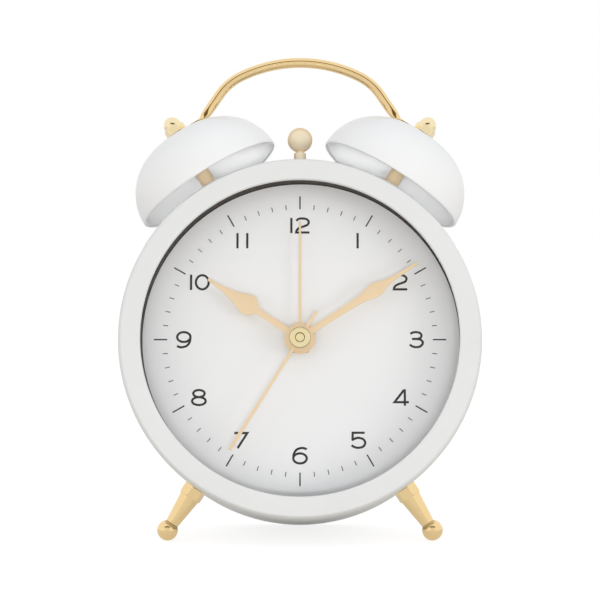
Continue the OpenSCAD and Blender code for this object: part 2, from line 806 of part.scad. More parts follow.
module rotor() {
    color("#6d7076") translate([0, -rotor_y, 0]) {
        translate([0, 0, stator_z - 0.6]) cylinder(r = rotor_r, h = stator_t + 1.2);
        translate([0, 0, stator_z + stator_t]) cylinder(r = arbor_r, h = plate_back - stator_z - stator_t);
        translate([0, 0, second_wheel_z]) rotate([0, 0, 180 / rotor_leaves])
            toothed(rotor_leaves, motor_module, 0.1);
    }
}

// Wheels and hands on the centre axis

module second_wheel() {
    color("#c9a75c") {
        translate([0, 0, second_front - 0.2]) cylinder(r = arbor_r, h = plate_back - second_front + 0.2);
        translate([0, 0, second_wheel_z]) toothed(second_teeth, motor_module, arbor_r - 0.1);
    }
}

module second_hand() {
    color("#f0d9a8") translate([0, 0, second_front]) rotate([0, 0, second_angle])
        hand([[-second_tail, second_half], [second_len, second_half * 0.6]],
            cap_d / 2 - 0.6, arbor_r + seat_gap);
}

// Polished button that covers the ends of the pipes
module second_cap() {
    edge = 0.6;
    cap_r = cap_d / 2;
    color("#e8bf55") translate([0, 0, cap_front]) difference() {
        rotate_extrude() {
            translate([0, 0.4]) square([cap_r - edge, second_front - cap_front - 0.4]);
            translate([0, 0.4 + edge]) square([cap_r, second_front - cap_front - 0.4 - edge]);
            intersection() {
                translate([cap_r - edge, 0.4 + edge]) circle(r = edge);
                square([cap_r, edge + 0.4]);
            }
            square([cap_r * 0.48, 0.5]);
        }
        translate([0, 0, second_front - cap_front - 0.25]) cylinder(r = arbor_r + seat_gap, h = 1);
    }
}

module cannon_pinion() {
    color("#c9a75c") {
        translate([0, 0, minute_front]) tube(minute_r, minute_in, cannon_z + wheel_t + 0.3 - minute_front);
        translate([0, 0, cannon_z]) toothed(cannon_teeth, wheel_module, minute_r - 0.1);
    }
}

module minute_hand() {
    spade_at = 0.63 * minute_len;
    color("#f0d9a8") translate([0, 0, minute_front]) rotate([0, 0, minute_angle])
        hand([[0, minute_arm], [0.48 * minute_len, minute_arm], [0.52 * minute_len, minute_arm * 1.35],
            [spade_at, minute_spade], [0.75 * minute_len, minute_spade * 0.36],
            [0.82 * minute_len, minute_spade * 0.26], [minute_len, minute_spade * 0.17]],
            hub_d / 2 - 0.6, minute_r + seat_gap);
}

module hour_wheel() {
    color("#c9a75c") {
        translate([0, 0, hour_front]) tube(hour_r, hour_in, hour_wheel_z + wheel_t - hour_front);
        translate([0, 0, hour_wheel_z]) toothed(hour_teeth, wheel_module, hour_r - 0.1);
    }
}

// Spade hand: its blade narrows in a hollow curve to the tip
module hour_hand() {
    heel = 0.47 * hour_len;
    widest = 0.56 * hour_len;
    tip_half = 0.45;
    steps = 8;
    shoulder = [for (turn = [0:22.5:90]) [heel + (widest - heel) * sin(turn),
        hour_arm + (hour_spade - hour_arm) * (1 - cos(turn))]];
    blade = [for (i = [1:steps]) [widest + (hour_len - widest) * i / steps,
        tip_half + (hour_spade - tip_half) * pow(1 - i / steps, 1.9)]];
    color("#f0d9a8") translate([0, 0, hour_front]) rotate([0, 0, hour_angle])
        hand(concat([[0, hour_arm]], shoulder, blade), hub_d / 2, hour_r + seat_gap);
}

module alarm_wheel() {
    color("#c9a75c") {
        translate([0, 0, alarm_front]) tube(alarm_r, alarm_in, alarm_wheel_z + wheel_t - alarm_front);
        translate([0, 0, alarm_wheel_z]) toothed(alarm_teeth, wheel_module, alarm_r - 0.1);
    }
}

module alarm_hand() {
    color("#f0d9a8") translate([0, 0, alarm_front]) rotate([0, 0, alarm_angle])
        hand([[0, alarm_half], [alarm_len, alarm_half * 0.55]], alarm_r + 1.3, alarm_r + seat_gap);
}

// Setting works

module setting_wheel() {
    color("#c9a75c") translate([setting_x, 0, 0]) {
        translate([0, 0, move_front + 0.1])
            cylinder(r = knob_arbor_r, h = knob_front + knob_h - 2 - move_front);
        translate([0, 0, cannon_z]) rotate([0, 0, 180 / setting_teeth])
            toothed(setting_teeth, wheel_module, knob_arbor_r - 0.1);
        translate([0, 0, hour_wheel_z]) rotate([0, 0, 180 / setting_leaves])
            toothed(setting_leaves, wheel_module, knob_arbor_r - 0.1);
    }
}

module time_knob() {
    color("#26262a") translate([setting_x, 0, knob_front]) knob();
}

module alarm_arbor() {
    color("#c9a75c") translate([-alarm_x, 0, 0]) {
        translate([0, 0, move_front + 0.1])
            cylinder(r = knob_arbor_r, h = knob_front + knob_h - 2 - move_front);
        translate([0, 0, alarm_wheel_z]) rotate([0, 0, 180 / alarm_leaves])
            toothed(alarm_leaves, wheel_module, knob_arbor_r - 0.1);
    }
}

module alarm_knob() {
    color("#26262a") translate([-alarm_x, 0, knob_front]) knob();
}

module alarm_switch() {
    plate_t = 1;
    color("#26262a") {
        translate([switch_x - switch_w / 2, -switch_y - switch_h / 2, cover_front - 0.1])
            cube([switch_w, switch_h, cover_t + 1.3]);
        translate([switch_x - switch_w / 2 - 1.5, -switch_y - switch_h / 2 - 1.2, cover_front - 0.1 - plate_t])
            cube([switch_w + 3, switch_h + 2.4, plate_t]);
    }
}

// Battery

module battery() {
    nub_h = 1.2;
    color("#5b5f66") translate([-battery_l / 2, box_y, battery_z]) rotate([0, 90, 0]) {
        cylinder(d = battery_d, h = battery_l - nub_h);
        cylinder(r = 2.7, h = battery_l);
    }
}

module battery_contact_plus() {
    color("#c5c7c9") translate([box_in_l / 2 - contact_t, box_y, battery_z]) {
        translate([0, -contact_w / 2, -contact_w / 2]) cube([contact_t, contact_w, contact_w]);
        translate([-0.9, 0, 0]) rotate([0, 90, 0]) cylinder(r = 2.2, h = 1);
    }
}

module battery_contact_minus() {
    color("#c5c7c9") translate([-box_in_l / 2, box_y, battery_z]) {
        translate([0, -contact_w / 2, -contact_w / 2]) cube([contact_t, contact_w, contact_w]);
        for (i = [0:2]) translate([contact_t + 0.2 * i, 0, 0]) rotate([0, 90, 0]) tube(4 - i, 2.8 - i, 0.5);
    }
}

module battery_door() {
    color("#e9e9e7") difference() {
        translate([-door_l / 2, box_y - door_w / 2, door_front]) cube([door_l, door_w, door_t]);
        for (i = [0:4]) translate([-8, box_y - door_w / 2 + 3 + 1.6 * i, door_back - 0.4]) cube([16, 0.8, 1]);
    }
}

// Hammer and its magnet

module hammer_bracket() {
    color("#a9adb2") translate([0, 0, bell_depth]) difference() {
        union() {
            translate([-1.4 * ear_r, -movement_half - bracket_t, -ear_in - ear_t])
                cube([magnet_reach + 2.6 * ear_r, bracket_t, 2 * (ear_in + ear_t)]);
            for (z = [-ear_in - ear_t, ear_in]) translate([0, 0, z]) {
                translate([-ear_r, -pivot_y, 0]) cube([2 * ear_r, pivot_rise, ear_t]);
                translate([0, -pivot_y, 0]) cylinder(r = ear_r, h = ear_t);
            }
        }
        translate([0, -pivot_y, -ear_in - ear_t - cut_over])
            cylinder(r = pivot_r, h = 2 * (ear_in + ear_t + cut_over));
        translate([magnet_reach, -movement_half - bracket_t / 2, 0]) rotate([90, 0, 0])
            cylinder(d = magnet_core_d - 1, h = 2 * bracket_t, center = true);
    }
}

module hammer_pin() {
    color("#b9bdc2") translate([0, -pivot_y, bell_depth - ear_in - ear_t - 0.5])
        cylinder(r = pivot_r, h = 2 * (ear_in + ear_t) + 1);
}

module magnet_core() {
    color("#8d9196") translate([magnet_reach, -movement_half - bracket_t, bell_depth]) rotate([90, 0, 0]) {
        cylinder(d = magnet_core_d, h = core_top - movement_half - bracket_t);
        translate([0, 0, -bracket_t]) cylinder(d = magnet_core_d - 1, h = bracket_t + 0.5);
    }
}

module magnet_coil() {
    coil_h = core_top - movement_half - bracket_t - 0.6;
    color("#b06a35") translate([magnet_reach, -movement_half - bracket_t, bell_depth]) rotate([90, 0, 0])
        difference() {
            union() {
                cylinder(d = magnet_coil_d - 1, h = coil_h);
                cylinder(d = magnet_coil_d, h = 0.8);
                translate([0, 0, coil_h - 0.8]) cylinder(d = magnet_coil_d, h = 0.8);
            }
            translate([0, 0, -cut_over]) cylinder(d = magnet_core_d + 2 * seat_gap, h = coil_h + 2 * cut_over);
        }
}

module hammer_arm() {
    color("#d9b566") translate([0, -pivot_y, bell_depth]) difference() {
        union() {
            translate([0, 0, -hub_half]) cylinder(r = hammer_hub_r, h = 2 * hub_half);
            rotate([90, 0, 0]) cylinder(r = hammer_rod_r, h = hammer_y - pivot_y - hammer_ball_r * 0.4);
        }
        translate([0, 0, -hub_half - cut_over]) cylinder(r = pivot_r + turn_gap, h = 2 * (hub_half + cut_over));
    }
}

// Ball with the collar that it is turned with
module hammer_ball() {
    collar_low = 3.2;
    collar_h = 2.8;
    color("#e6cf9c") translate([0, -hammer_y, bell_depth]) rotate([90, 0, 0]) difference() {
        union() {
            sphere(r = hammer_ball_r);
            translate([0, 0, -hammer_ball_r - 1]) cylinder(r = hammer_rod_d * 0.85, h = hammer_ball_r);
            translate([0, 0, -hammer_ball_r - collar_low]) cylinder(r = hammer_rod_d, h = collar_h);
        }
        translate([0, 0, -hammer_ball_r - collar_low - cut_over])
            cylinder(r = hammer_rod_r, h = hammer_ball_r * 0.6 + collar_low + cut_over);
    }
}

// Iron plate that the magnet pulls, clamped on the hammer's hub
module armature() {
    color("#8d9196") translate([0, -pivot_y, bell_depth]) difference() {
        translate([0, -armature_t / 2, -armature_half]) cube([armature_end, armature_t, 2 * armature_half]);
        translate([0, 0, -hub_half]) cylinder(r = hammer_hub_r, h = 2 * hub_half);
    }
}

stand() case_drum();
stand() front_bezel();
stand() glass_lens();
stand() dial_ring();
stand() dial();
stand() back_cover();
stand() back_screws();
stand() bell_left();
stand() bell_right();
stand() bell_post_left();
stand() bell_post_right();
stand() post_nuts();
stand() bell_nut_left();
stand() bell_nut_right();
stand() handle();
stand() foot_left();
stand() foot_right();
stand() foot_nuts();
stand() movement_housing();
stand() movement_cover();
stand() dial_nut();
stand() stator();
stand() motor_coil();
stand() circuit_board();
stand() rotor();
stand() battery();
stand() battery_contact_plus();
stand() battery_contact_minus();
stand() battery_door();
stand() hammer_bracket();
stand() hammer_pin();
stand() magnet_core();
stand() magnet_coil();
stand() hammer_arm();
stand() hammer_ball();
stand() armature();
stand() second_hand();
stand() second_cap();
stand() second_wheel();
stand() minute_hand();
stand() cannon_pinion();
stand() hour_hand();
stand() hour_wheel();
stand() setting_wheel();
stand() time_knob();
stand() alarm_hand();
stand() alarm_wheel();
stand() alarm_arbor();
stand() alarm_knob();
stand() alarm_switch();
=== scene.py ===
import math

import bmesh
import bpy
from mathutils import Matrix, Vector


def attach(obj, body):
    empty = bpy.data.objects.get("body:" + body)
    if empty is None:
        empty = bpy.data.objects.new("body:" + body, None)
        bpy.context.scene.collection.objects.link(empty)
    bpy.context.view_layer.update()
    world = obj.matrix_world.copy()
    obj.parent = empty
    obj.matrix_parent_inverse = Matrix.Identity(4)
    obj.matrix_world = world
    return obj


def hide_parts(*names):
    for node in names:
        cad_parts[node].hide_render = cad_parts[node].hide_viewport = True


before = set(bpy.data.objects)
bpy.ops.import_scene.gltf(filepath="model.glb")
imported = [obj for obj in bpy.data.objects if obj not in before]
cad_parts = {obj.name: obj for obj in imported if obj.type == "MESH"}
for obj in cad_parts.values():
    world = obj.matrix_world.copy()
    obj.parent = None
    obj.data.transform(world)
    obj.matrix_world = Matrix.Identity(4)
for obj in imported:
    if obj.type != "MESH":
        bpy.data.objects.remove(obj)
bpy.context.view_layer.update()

# Twin bell alarm clock: its finishes and finer shapes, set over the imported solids.
# Sizes are in millimetres in the clock's own frame: x to the right, y up the dial and z towards
# the viewer, with the bezel's front face at z = 0. CLOCK leans that frame back and stands it up.

scene = bpy.context.scene
scene.view_settings.view_transform = "Standard"

# Sizes

MM = 0.001
LEAN = math.radians(12)
STAND_Y = -24.1167814
AXIS_HEIGHT = 65.3029916

BEZEL_R = 57.5
BEZEL_DEPTH = 9.0
RIM_W = 1.4
RIM_T = 3.6
WINDOW_R = 50.3
WINDOW_ROUND = 0.5
LIP = 1.5
GLASS_R = 52.2
GLASS_GAP = 0.1
GLASS_BACK = 3.0
SHOULDER_DEPTH = 4.2
SKIRT_R = 56.0
DRUM_R = 57.0
DRUM_IN = 55.6
CASE_DEPTH = 47.0
REAR_ROUND = 1.2
SPIGOT_R = 55.95
SPIGOT_IN = 54.45
FLANGE_IN = 50.0
DIAL_DEPTH = 11.0
DIAL_BACK = 12.0
FLANGE_BACK = 12.8
TUNNEL_R = 50.5
# Depth where the black band of painted shade at the dark ring's foot begins
SHADE_BAND_DEPTH = 8.6
# The dark ring sits a little to the right, so that more of it shows on the left.
RING_ASIDE = 0.3
CASE_AROUND = 288

BELL_X = 29.913
BELL_Y = 53.964
BELL_DEPTH = 24.0
BELL_TILT = math.radians(32.2)
BELL_R = 25.3
BELL_H = 19.2
BELL_SIDE_R = 18.6
BELL_CORE = BELL_R - BELL_SIDE_R
BELL_WALL = 1.2
LINING_T = 0.2
BELL_AROUND = 256
CROWN = 19.1
POST_R = 2.4
STUD_R = 1.5
STUD_GAP = 0.05
POST_ROOT = -4.0
POST_TOP = 17.94
LUG_T = 1.0
LUG_W = 6.0
NUT_BASE = CROWN + LUG_T
STUD_END = NUT_BASE + 1.5
NUT_FLATS = 6.3
NUT_HEX_H = 2.7
NUT_DOME_R = 3.0
NUT_DOME_H = 3.5
NUT_TURN = math.radians(18)

ROD_R = 1.65
ARCH_R = 43.5
ARCH_Y = 51.8
ARCH_HALF = math.radians(27)
SHOULDER_R = 18.4
SHOULDER_X = (ARCH_R - SHOULDER_R) * math.sin(ARCH_HALF)
SHOULDER_Y = ARCH_Y + (ARCH_R - SHOULDER_R) * math.cos(ARCH_HALF)
LEG_TILT = math.radians(33.7)
LUG_BEND_R = 4.0

FOOT_X = 42.0
FOOT_Y = 59.98
FOOT_DEPTH = 16.0
FOOT_TILT = math.radians(33.5)
FOOT_TURN = math.radians(12)
FOOT_BALL_R = 3.3
FOOT_FLATS = 6.6
FOOT_NECK_R = 2.1
FOOT_TAPER = 9.7

HAMMER_Y = 68.8
HAMMER_BALL_R = 4.1
HAMMER_ROD_R = 1.0
SLOT_HALF = 4.23
SLOT_DEPTH = 3.6

CAP_FRONT = 3.4
CAP_R = 3.35
SECOND_FRONT = 4.9
MINUTE_FRONT = 5.8
HOUR_FRONT = 7.0
ALARM_FRONT = 8.2
HAND_T = 0.5
HOUR_BOSS = 4.9
MINUTE_BOSS = 4.3
SECOND_BOSS = 2.75
ALARM_BOSS = 3.85
SECOND_ANGLE = 211.9
MINUTE_ANGLE = 57.2
HOUR_ANGLE = 303.0
ALARM_ANGLE = 0.0

COVER_R = 55.5
COVER_BACK = 46.4
COVER_T = 1.8
SCREW_RING = 53.0
SCREW_R = 1.25
SCREW_HEAD_R = 2.2
KNOB_FRONT = 46.9
KNOB_R = 7.5
KNOB_H = 7.0
KNOB_ARBOR_HOLE = 1.4
TIME_KNOB_X = 12.0
ALARM_KNOB_X = -11.7
SWITCH_Y = 24.0
SWITCH_W = 3.6
SWITCH_H = 3.0
SWITCH_TRAVEL = 4.0
SWITCH_GAP = 0.3
SWITCH_ROUND = 0.4
BOX_Y = -38.72
BOX_L = 55.6
BOX_W = 17.0
BOX_WALL = 1.0
BOX_FRONT = 29.3
DOOR_L = 54.8
DOOR_W = 16.2
DOOR_T = 1.3
DOOR_GAP = 0.15
CELL_R = 7.1
CELL_L = 50.5
CELL_DEPTH = 37.7

CLOCK = (
    Matrix.Translation((0, STAND_Y * MM, AXIS_HEIGHT * MM))
    @ Matrix.Rotation(math.pi / 2 - LEAN, 4, "X")
    @ Matrix.Scale(MM, 4)
)
ALONG_UP = Matrix.Rotation(-math.pi / 2, 4, "X")
TO_BACK = Matrix.Rotation(math.pi, 4, "Y")
SIDES = ((-1, "left"), (1, "right"))


def at_depth(depth, x=0.0, y=0.0):
    """The clock's frame moved back to a depth behind the bezel's face."""
    return CLOCK @ Matrix.Translation((x, y, -depth))


def on_bell(side):
    """Along a bell's axis: z outward from the centre of the lip, y to the back."""
    tilt = Matrix.Rotation(-side * BELL_TILT, 4, "Z")
    return at_depth(BELL_DEPTH, side * BELL_X, BELL_Y) @ tilt @ ALONG_UP


def on_foot(side):
    """Along a foot's axis: z inward from the centre of the ball, y to the back."""
    tilt = Matrix.Rotation(side * FOOT_TILT, 4, "Z")
    return at_depth(FOOT_DEPTH, side * FOOT_X, -FOOT_Y) @ tilt @ ALONG_UP


# Outlines

def arc(cx, cy, radius, start, end, steps):
    """Points on a circle from one angle to another, in degrees."""
    turn = [math.radians(start + (end - start) * i / steps) for i in range(steps + 1)]
    return [(cx + radius * math.cos(a), cy + radius * math.sin(a)) for a in turn]


def eased(corners, steps=6):
    """Outline through (x, y, radius) corners, each replaced by an arc of its radius."""
    points = []
    count = len(corners)
    for i, (x, y, radius) in enumerate(corners):
        corner = Vector((x, y))
        if radius == 0:
            points.append((x, y))
            continue
        before = (Vector(corners[i - 1][:2]) - corner).normalized()
        after = (Vector(corners[(i + 1) % count][:2]) - corner).normalized()
        half = before.angle(after) / 2
        middle = corner + (before + after).normalized() * radius / math.sin(half)
        run = radius / math.tan(half)
        first = corner + before * run - middle
        last = corner + after * run - middle
        for k in range(steps + 1):
            spoke = first.slerp(last, k / steps).normalized() * radius
            points.append(tuple(middle + spoke))
    return points


def flowing(points, steps=8, closed=False):
    """Smooth line through the given points."""
    known = [Vector(p) for p in points]
    count = len(known)
    line = []
    for i in range(count if closed else count - 1):
        p1, p2 = known[i], known[(i + 1) % count]
        p0 = known[i - 1] if closed or i > 0 else p1 * 2 - p2
        p3 = known[(i + 2) % count] if closed or i + 2 < count else p2 * 2 - p1
        for k in range(steps):
            t = k / steps
            line.append(tuple(
                (p1 * 2 + (p2 - p0) * t + (p0 * 2 - p1 * 5 + p2 * 4 - p3) * t ** 2
                 + (p1 * 3 - p0 - p2 * 3 + p3) * t ** 3) / 2))
    if not closed:
        line.append(tuple(known[-1]))
    return line


def circle(radius, cx=0.0, cy=0.0, steps=64):
    """Closed circle, whose last point is one step before its first."""
    return arc(cx, cy, radius, 0, 360 - 360 / steps, steps - 1)


def shares(steps):
    """Even shares of a run, from the first step to the whole."""
    return [k / steps for k in range(1, steps + 1)]


def full_turn(around):
    """Angles once round, in radians."""
    return [2 * math.pi * i / around for i in range(around)]


def quarter_turn(steps):
    """Angles from zero to a right angle, in radians."""
    return [math.pi / 2 * k / steps for k in range(steps + 1)]


def oblong(half_w, half_h, radius, cx=0.0, cy=0.0):
    """Rectangle with rounded corners."""
    return eased([(cx - half_w, cy - half_h, radius), (cx + half_w, cy - half_h, radius),
                  (cx + half_w, cy + half_h, radius), (cx - half_w, cy + half_h, radius)])


# Shapes

# Points this close are one: in millimetres before a shape is placed, and in metres after a cut
SAME_POINT = 1e-4
CUT_WELD = 2e-6
# Angles in degrees from which an edge is a real one
TURNED_SHARP = 35
CUT_SHARP = 18


def object_from(name, bm):
    """Object in the scene that takes over a mesh in the making."""
    mesh = bpy.data.meshes.new(name)
    bm.to_mesh(mesh)
    bm.free()
    whole = bpy.data.objects.new(name, mesh)
    scene.collection.objects.link(whole)
    return whole


def piece_from(name, bm, place, sharp=TURNED_SHARP):
    """Object from a finished mesh, shaded softly except at its real edges."""
    bmesh.ops.remove_doubles(bm, verts=bm.verts, dist=SAME_POINT)
    bmesh.ops.recalc_face_normals(bm, faces=bm.faces)
    piece = object_from(name, bm)
    mesh = piece.data
    mesh.transform(place)
    mesh.polygons.foreach_set("use_smooth", [True] * len(mesh.polygons))
    mesh.set_sharp_from_angle(angle=math.radians(sharp))
    return piece


def skin(bm, first, second):
    """Faces between two rings of points, either of which may be a single point."""
    count = max(len(first), len(second))
    for i in range(count if count > 1 else 0):
        j = (i + 1) % count
        corners = [first[i % len(first)], first[j % len(first)],
                   second[j % len(second)], second[i % len(second)]]
        bm.faces.new(list(dict.fromkeys(corners)))


def turned(name, outline, place, around):
    """Ring or solid of revolution from its half section of (radius, height) points."""
    bm = bmesh.new()
    rings = []
    for radius, height in outline:
        if radius < SAME_POINT:
            rings.append([bm.verts.new((0, 0, height))])
            continue
        rings.append([bm.verts.new((radius * math.cos(a), radius * math.sin(a), height))
                      for a in full_turn(around)])
    for i, ring in enumerate(rings):
        skin(bm, rings[i - 1], ring)
    return piece_from(name, bm, place)


def lofted(name, rings, place, sharp=TURNED_SHARP):
    """Solid through rings of points, closed at both ends."""
    bm = bmesh.new()
    loops = [[bm.verts.new(p) for p in ring] for ring in rings]
    for first, second in zip(loops, loops[1:]):
        skin(bm, first, second)
    for end in (loops[0], loops[-1]):
        if len(end) > 2:
            bm.faces.new(end)
    return piece_from(name, bm, place, sharp)


def plate(name, outlines, thickness, edge, place):
    """Flat piece from closed outlines and holes, with softened edges and its middle at z = 0."""
    curve = bpy.data.curves.new(name, "CURVE")
    curve.dimensions = "2D"
    curve.fill_mode = "BOTH"
    curve.extrude = thickness / 2 - edge
    curve.bevel_depth = edge
    curve.bevel_resolution = 2
    curve.offset = -edge
    for outline in outlines:
        spline = curve.splines.new("POLY")
        spline.points.add(len(outline) - 1)
        spline.use_cyclic_u = True
        for point, (x, y) in zip(spline.points, outline):
            point.co = (x, y, 0, 1)
    holder = bpy.data.objects.new(name + "_outline", curve)
    mesh = bpy.data.meshes.new_from_object(holder)
    bm = bmesh.new()
    bm.from_mesh(mesh)
    bpy.data.objects.remove(holder)
    bpy.data.curves.remove(curve)
    bpy.data.meshes.remove(mesh)
    return piece_from(name, bm, place, CUT_SHARP)


def changed(piece, operation, others, weld=CUT_WELD):
    """Joins the other pieces to a piece, or cuts them out of it, and removes them.

    Points closer than weld become one, which leaves no slivers along the cuts."""
    for other in others:
        step = piece.modifiers.new(operation.lower(), "BOOLEAN")
        step.operation = operation
        step.solver = "EXACT"
        step.object = other
    bpy.context.view_layer.update()
    mesh = bpy.data.meshes.new_from_object(piece.evaluated_get(bpy.context.evaluated_depsgraph_get()))
    bm = bmesh.new()
    bm.from_mesh(mesh)
    bmesh.ops.remove_doubles(bm, verts=bm.verts, dist=weld)
    bmesh.ops.triangulate(bm, faces=bm.faces)
    bmesh.ops.dissolve_degenerate(bm, edges=bm.edges, dist=weld)
    bmesh.ops.triangulate(bm, faces=bm.faces)
    bmesh.ops.recalc_face_normals(bm, faces=bm.faces)
    bm.to_mesh(mesh)
    bm.free()
    mesh.set_sharp_from_angle(angle=math.radians(CUT_SHARP))
    piece.modifiers.clear()
    piece.data = mesh
    for other in others:
        bpy.data.objects.remove(other)
    return piece


def joined(name, pieces):
    """One piece that holds the meshes of several."""
    bm = bmesh.new()
    for part in pieces:
        bm.from_mesh(part.data)
        bpy.data.objects.remove(part)
    return object_from(name, bm)


def fit(piece, finish, slot, body, *nodes):
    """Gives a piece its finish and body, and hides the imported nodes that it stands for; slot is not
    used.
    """
    piece.data.materials.clear()
    piece.data.materials.append(finish)
    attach(piece, body)
    if nodes:
        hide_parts(*nodes)
    return piece


# Finishes

def set_inputs(node, **values):
    """Sets the inputs named on a node, such as to_max for To Max."""
    for label, value in values.items():
        node.inputs[label.replace("_", " ").title().replace("Ior", "IOR")].default_value = value
    return node


def add_node(nodes, kind, **values):
    """New shader node with values on the inputs named."""
    return set_inputs(nodes.new("ShaderNode" + kind), **values)


def add_mix(nodes, first, second):
    """New mix of two tones."""
    mix = add_node(nodes, "Mix")
    mix.data_type = "RGBA"
    return set_inputs(mix, a=(*first, 1), b=(*second, 1))


def wire(links, *rows):
    """Links an output of one node to an input of another, for each row of four."""
    for source, output, target, entry in rows:
        links.new(source.outputs[output], target.inputs[entry])


def larger_of(nodes, links, first, second):
    """Output that carries the larger of two outputs."""
    node = add_node(nodes, "Math")
    node.operation = "MAXIMUM"
    links.new(first, node.inputs[0])
    links.new(second, node.inputs[1])
    return node.outputs["Value"]


def surface_group():
    """Fine grain for the bump, and slow patches for tone and gloss, in the piece's own space."""
    group = bpy.data.node_groups.new("surface_grain", "ShaderNodeTree")
    for way, labels in (("INPUT", ["Grain Scale", "Patch Scale"]), ("OUTPUT", ["Height", "Patch"])):
        for label in labels:
            group.interface.new_socket(label, in_out=way, socket_type="NodeSocketFloat")
    nodes = group.nodes
    start = nodes.new("NodeGroupInput")
    end = nodes.new("NodeGroupOutput")
    where = add_node(nodes, "TexCoord")
    grain = add_node(nodes, "TexNoise", detail=2.0)
    patch = add_node(nodes, "TexNoise", detail=4.0, roughness=0.6)
    spread = add_node(nodes, "MapRange", from_min=0.3, from_max=0.7)
    wire(group.links, (where, "Object", grain, "Vector"), (where, "Object", patch, "Vector"),
         (start, "Grain Scale", grain, "Scale"), (start, "Patch Scale", patch, "Scale"),
         (patch, "Fac", spread, "Value"), (grain, "Fac", end, "Height"), (spread, "Result", end, "Patch"))
    return group


SURFACE = surface_group()


def new_finish(name):
    """New material, with its nodes, its links and its shader."""
    material = bpy.data.materials.new(name)
    material.use_nodes = True
    shader = material.node_tree.nodes["Principled BSDF"]
    return material, material.node_tree.nodes, material.node_tree.links, shader


def add_surface(nodes, grain, patch):
    """New use of the shared grain and patches, at scales per metre."""
    surface = add_node(nodes, "Group")
    surface.node_tree = SURFACE
    return set_inputs(surface, grain_scale=grain, patch_scale=patch)


def grained(name, tones, gloss, grain, patch, bump, **fixed):
    """Finish with two tones and two roughnesses that drift in patches, over a fine grain.

    grain and patch are scales per metre, and bump is the grain's depth in millimetres."""
    material, nodes, links, shader = new_finish(name)
    surface = add_surface(nodes, grain, patch)
    tone = add_mix(nodes, *tones)
    sheen = add_node(nodes, "MapRange", to_min=gloss[0], to_max=gloss[1])
    relief = add_node(nodes, "Bump", strength=1.0, distance=bump * MM)
    wire(links, (surface, "Patch", tone, "Factor"), (surface, "Patch", sheen, "Value"),
         (surface, "Height", relief, "Height"), (tone, "Result", shader, "Base Color"),
         (sheen, "Result", shader, "Roughness"), (relief, "Normal", shader, "Normal"))
    set_inputs(shader, **fixed)
    return material


def edged(material, edge, start, full):
    """Paints shade into a finish's colour where its surface turns away from the view, from start to full;
    edge is the tone of that painted edge shade.
    """
    nodes, links = material.node_tree.nodes, material.node_tree.links
    base = nodes["Principled BSDF"].inputs["Base Color"]
    away = add_node(nodes, "LayerWeight", blend=0.5)
    share = add_node(nodes, "MapRange", from_min=start, from_max=full)
    tone = add_mix(nodes, edge, edge)
    wire(links, (away, "Facing", share, "Value"), (share, "Result", tone, "Factor"))
    links.new(base.links[0].from_socket, tone.inputs["A"])
    links.new(tone.outputs["Result"], base)
    return material


def lens_finish():
    """Clear flat lens that lets lamps through to the dial, and reflections of the hands out."""
    material, nodes, links, shader = new_finish("clear_lens")
    set_inputs(shader, base_color=(1.0, 1.0, 1.0, 1), transmission_weight=1.0, ior=1.3)
    surface = add_surface(nodes, grain=500.0, patch=30.0)
    haze = add_node(nodes, "MapRange", to_min=0.0, to_max=0.02)
    path = add_node(nodes, "LightPath")
    bounced = larger_of(nodes, links, path.outputs["Is Diffuse Ray"], path.outputs["Is Glossy Ray"])
    passed = larger_of(nodes, links, path.outputs["Is Shadow Ray"], bounced)
    clear = add_node(nodes, "BsdfTransparent")
    lamps = add_node(nodes, "MixShader")
    links.new(passed, lamps.inputs["Fac"])
    wire(links, (surface, "Patch", haze, "Value"), (haze, "Result", shader, "Roughness"),
         (shader, "BSDF", lamps, 1), (clear, "BSDF", lamps, 2),
         (lamps, "Shader", nodes["Material Output"], "Surface"))
    return material


WHITE_PAINT = grained(
    "satin_white", [(0.81, 0.825, 0.83), (0.78, 0.795, 0.80)], (0.30, 0.40), 1400, 30, 0.004, ior=1.45)
# The bells wear the bezel's paint; this lighter copy of it is painted light for the bells and their inner
# coats.
BELL_WHITE_LIT = grained(
    "bell_white_painted_light", [(0.92, 0.93, 0.945), (0.90, 0.91, 0.925)], (0.30, 0.40), 1400, 30, 0.004, ior=1.45)
POLISHED_GOLD = grained(
    "polished_gold", [(0.95, 0.72, 0.38), (0.94, 0.70, 0.36)], (0.06, 0.10), 400, 120, 0.0001,
    metallic=1.0)
PALE_GOLD = grained(
    "pale_gold", [(0.96, 0.76, 0.50), (0.94, 0.74, 0.48)], (0.45, 0.55), 2500, 60, 0.003, metallic=0.55)
# Hammer ball: its darker orange rim is painted edge shade.
HAMMER_GOLD = edged(grained(
    "hammer_gold", [(0.99, 0.86, 0.64), (0.97, 0.84, 0.62)], (0.4, 0.5), 2500, 60, 0.003, metallic=0.2),
    (0.80, 0.52, 0.24), 0.25, 0.95)
BRIGHT_GOLD = grained(
    "bright_gold", [(0.98, 0.84, 0.55), (0.97, 0.82, 0.52)], (0.09, 0.14), 1500, 90, 0.0005, metallic=1.0)
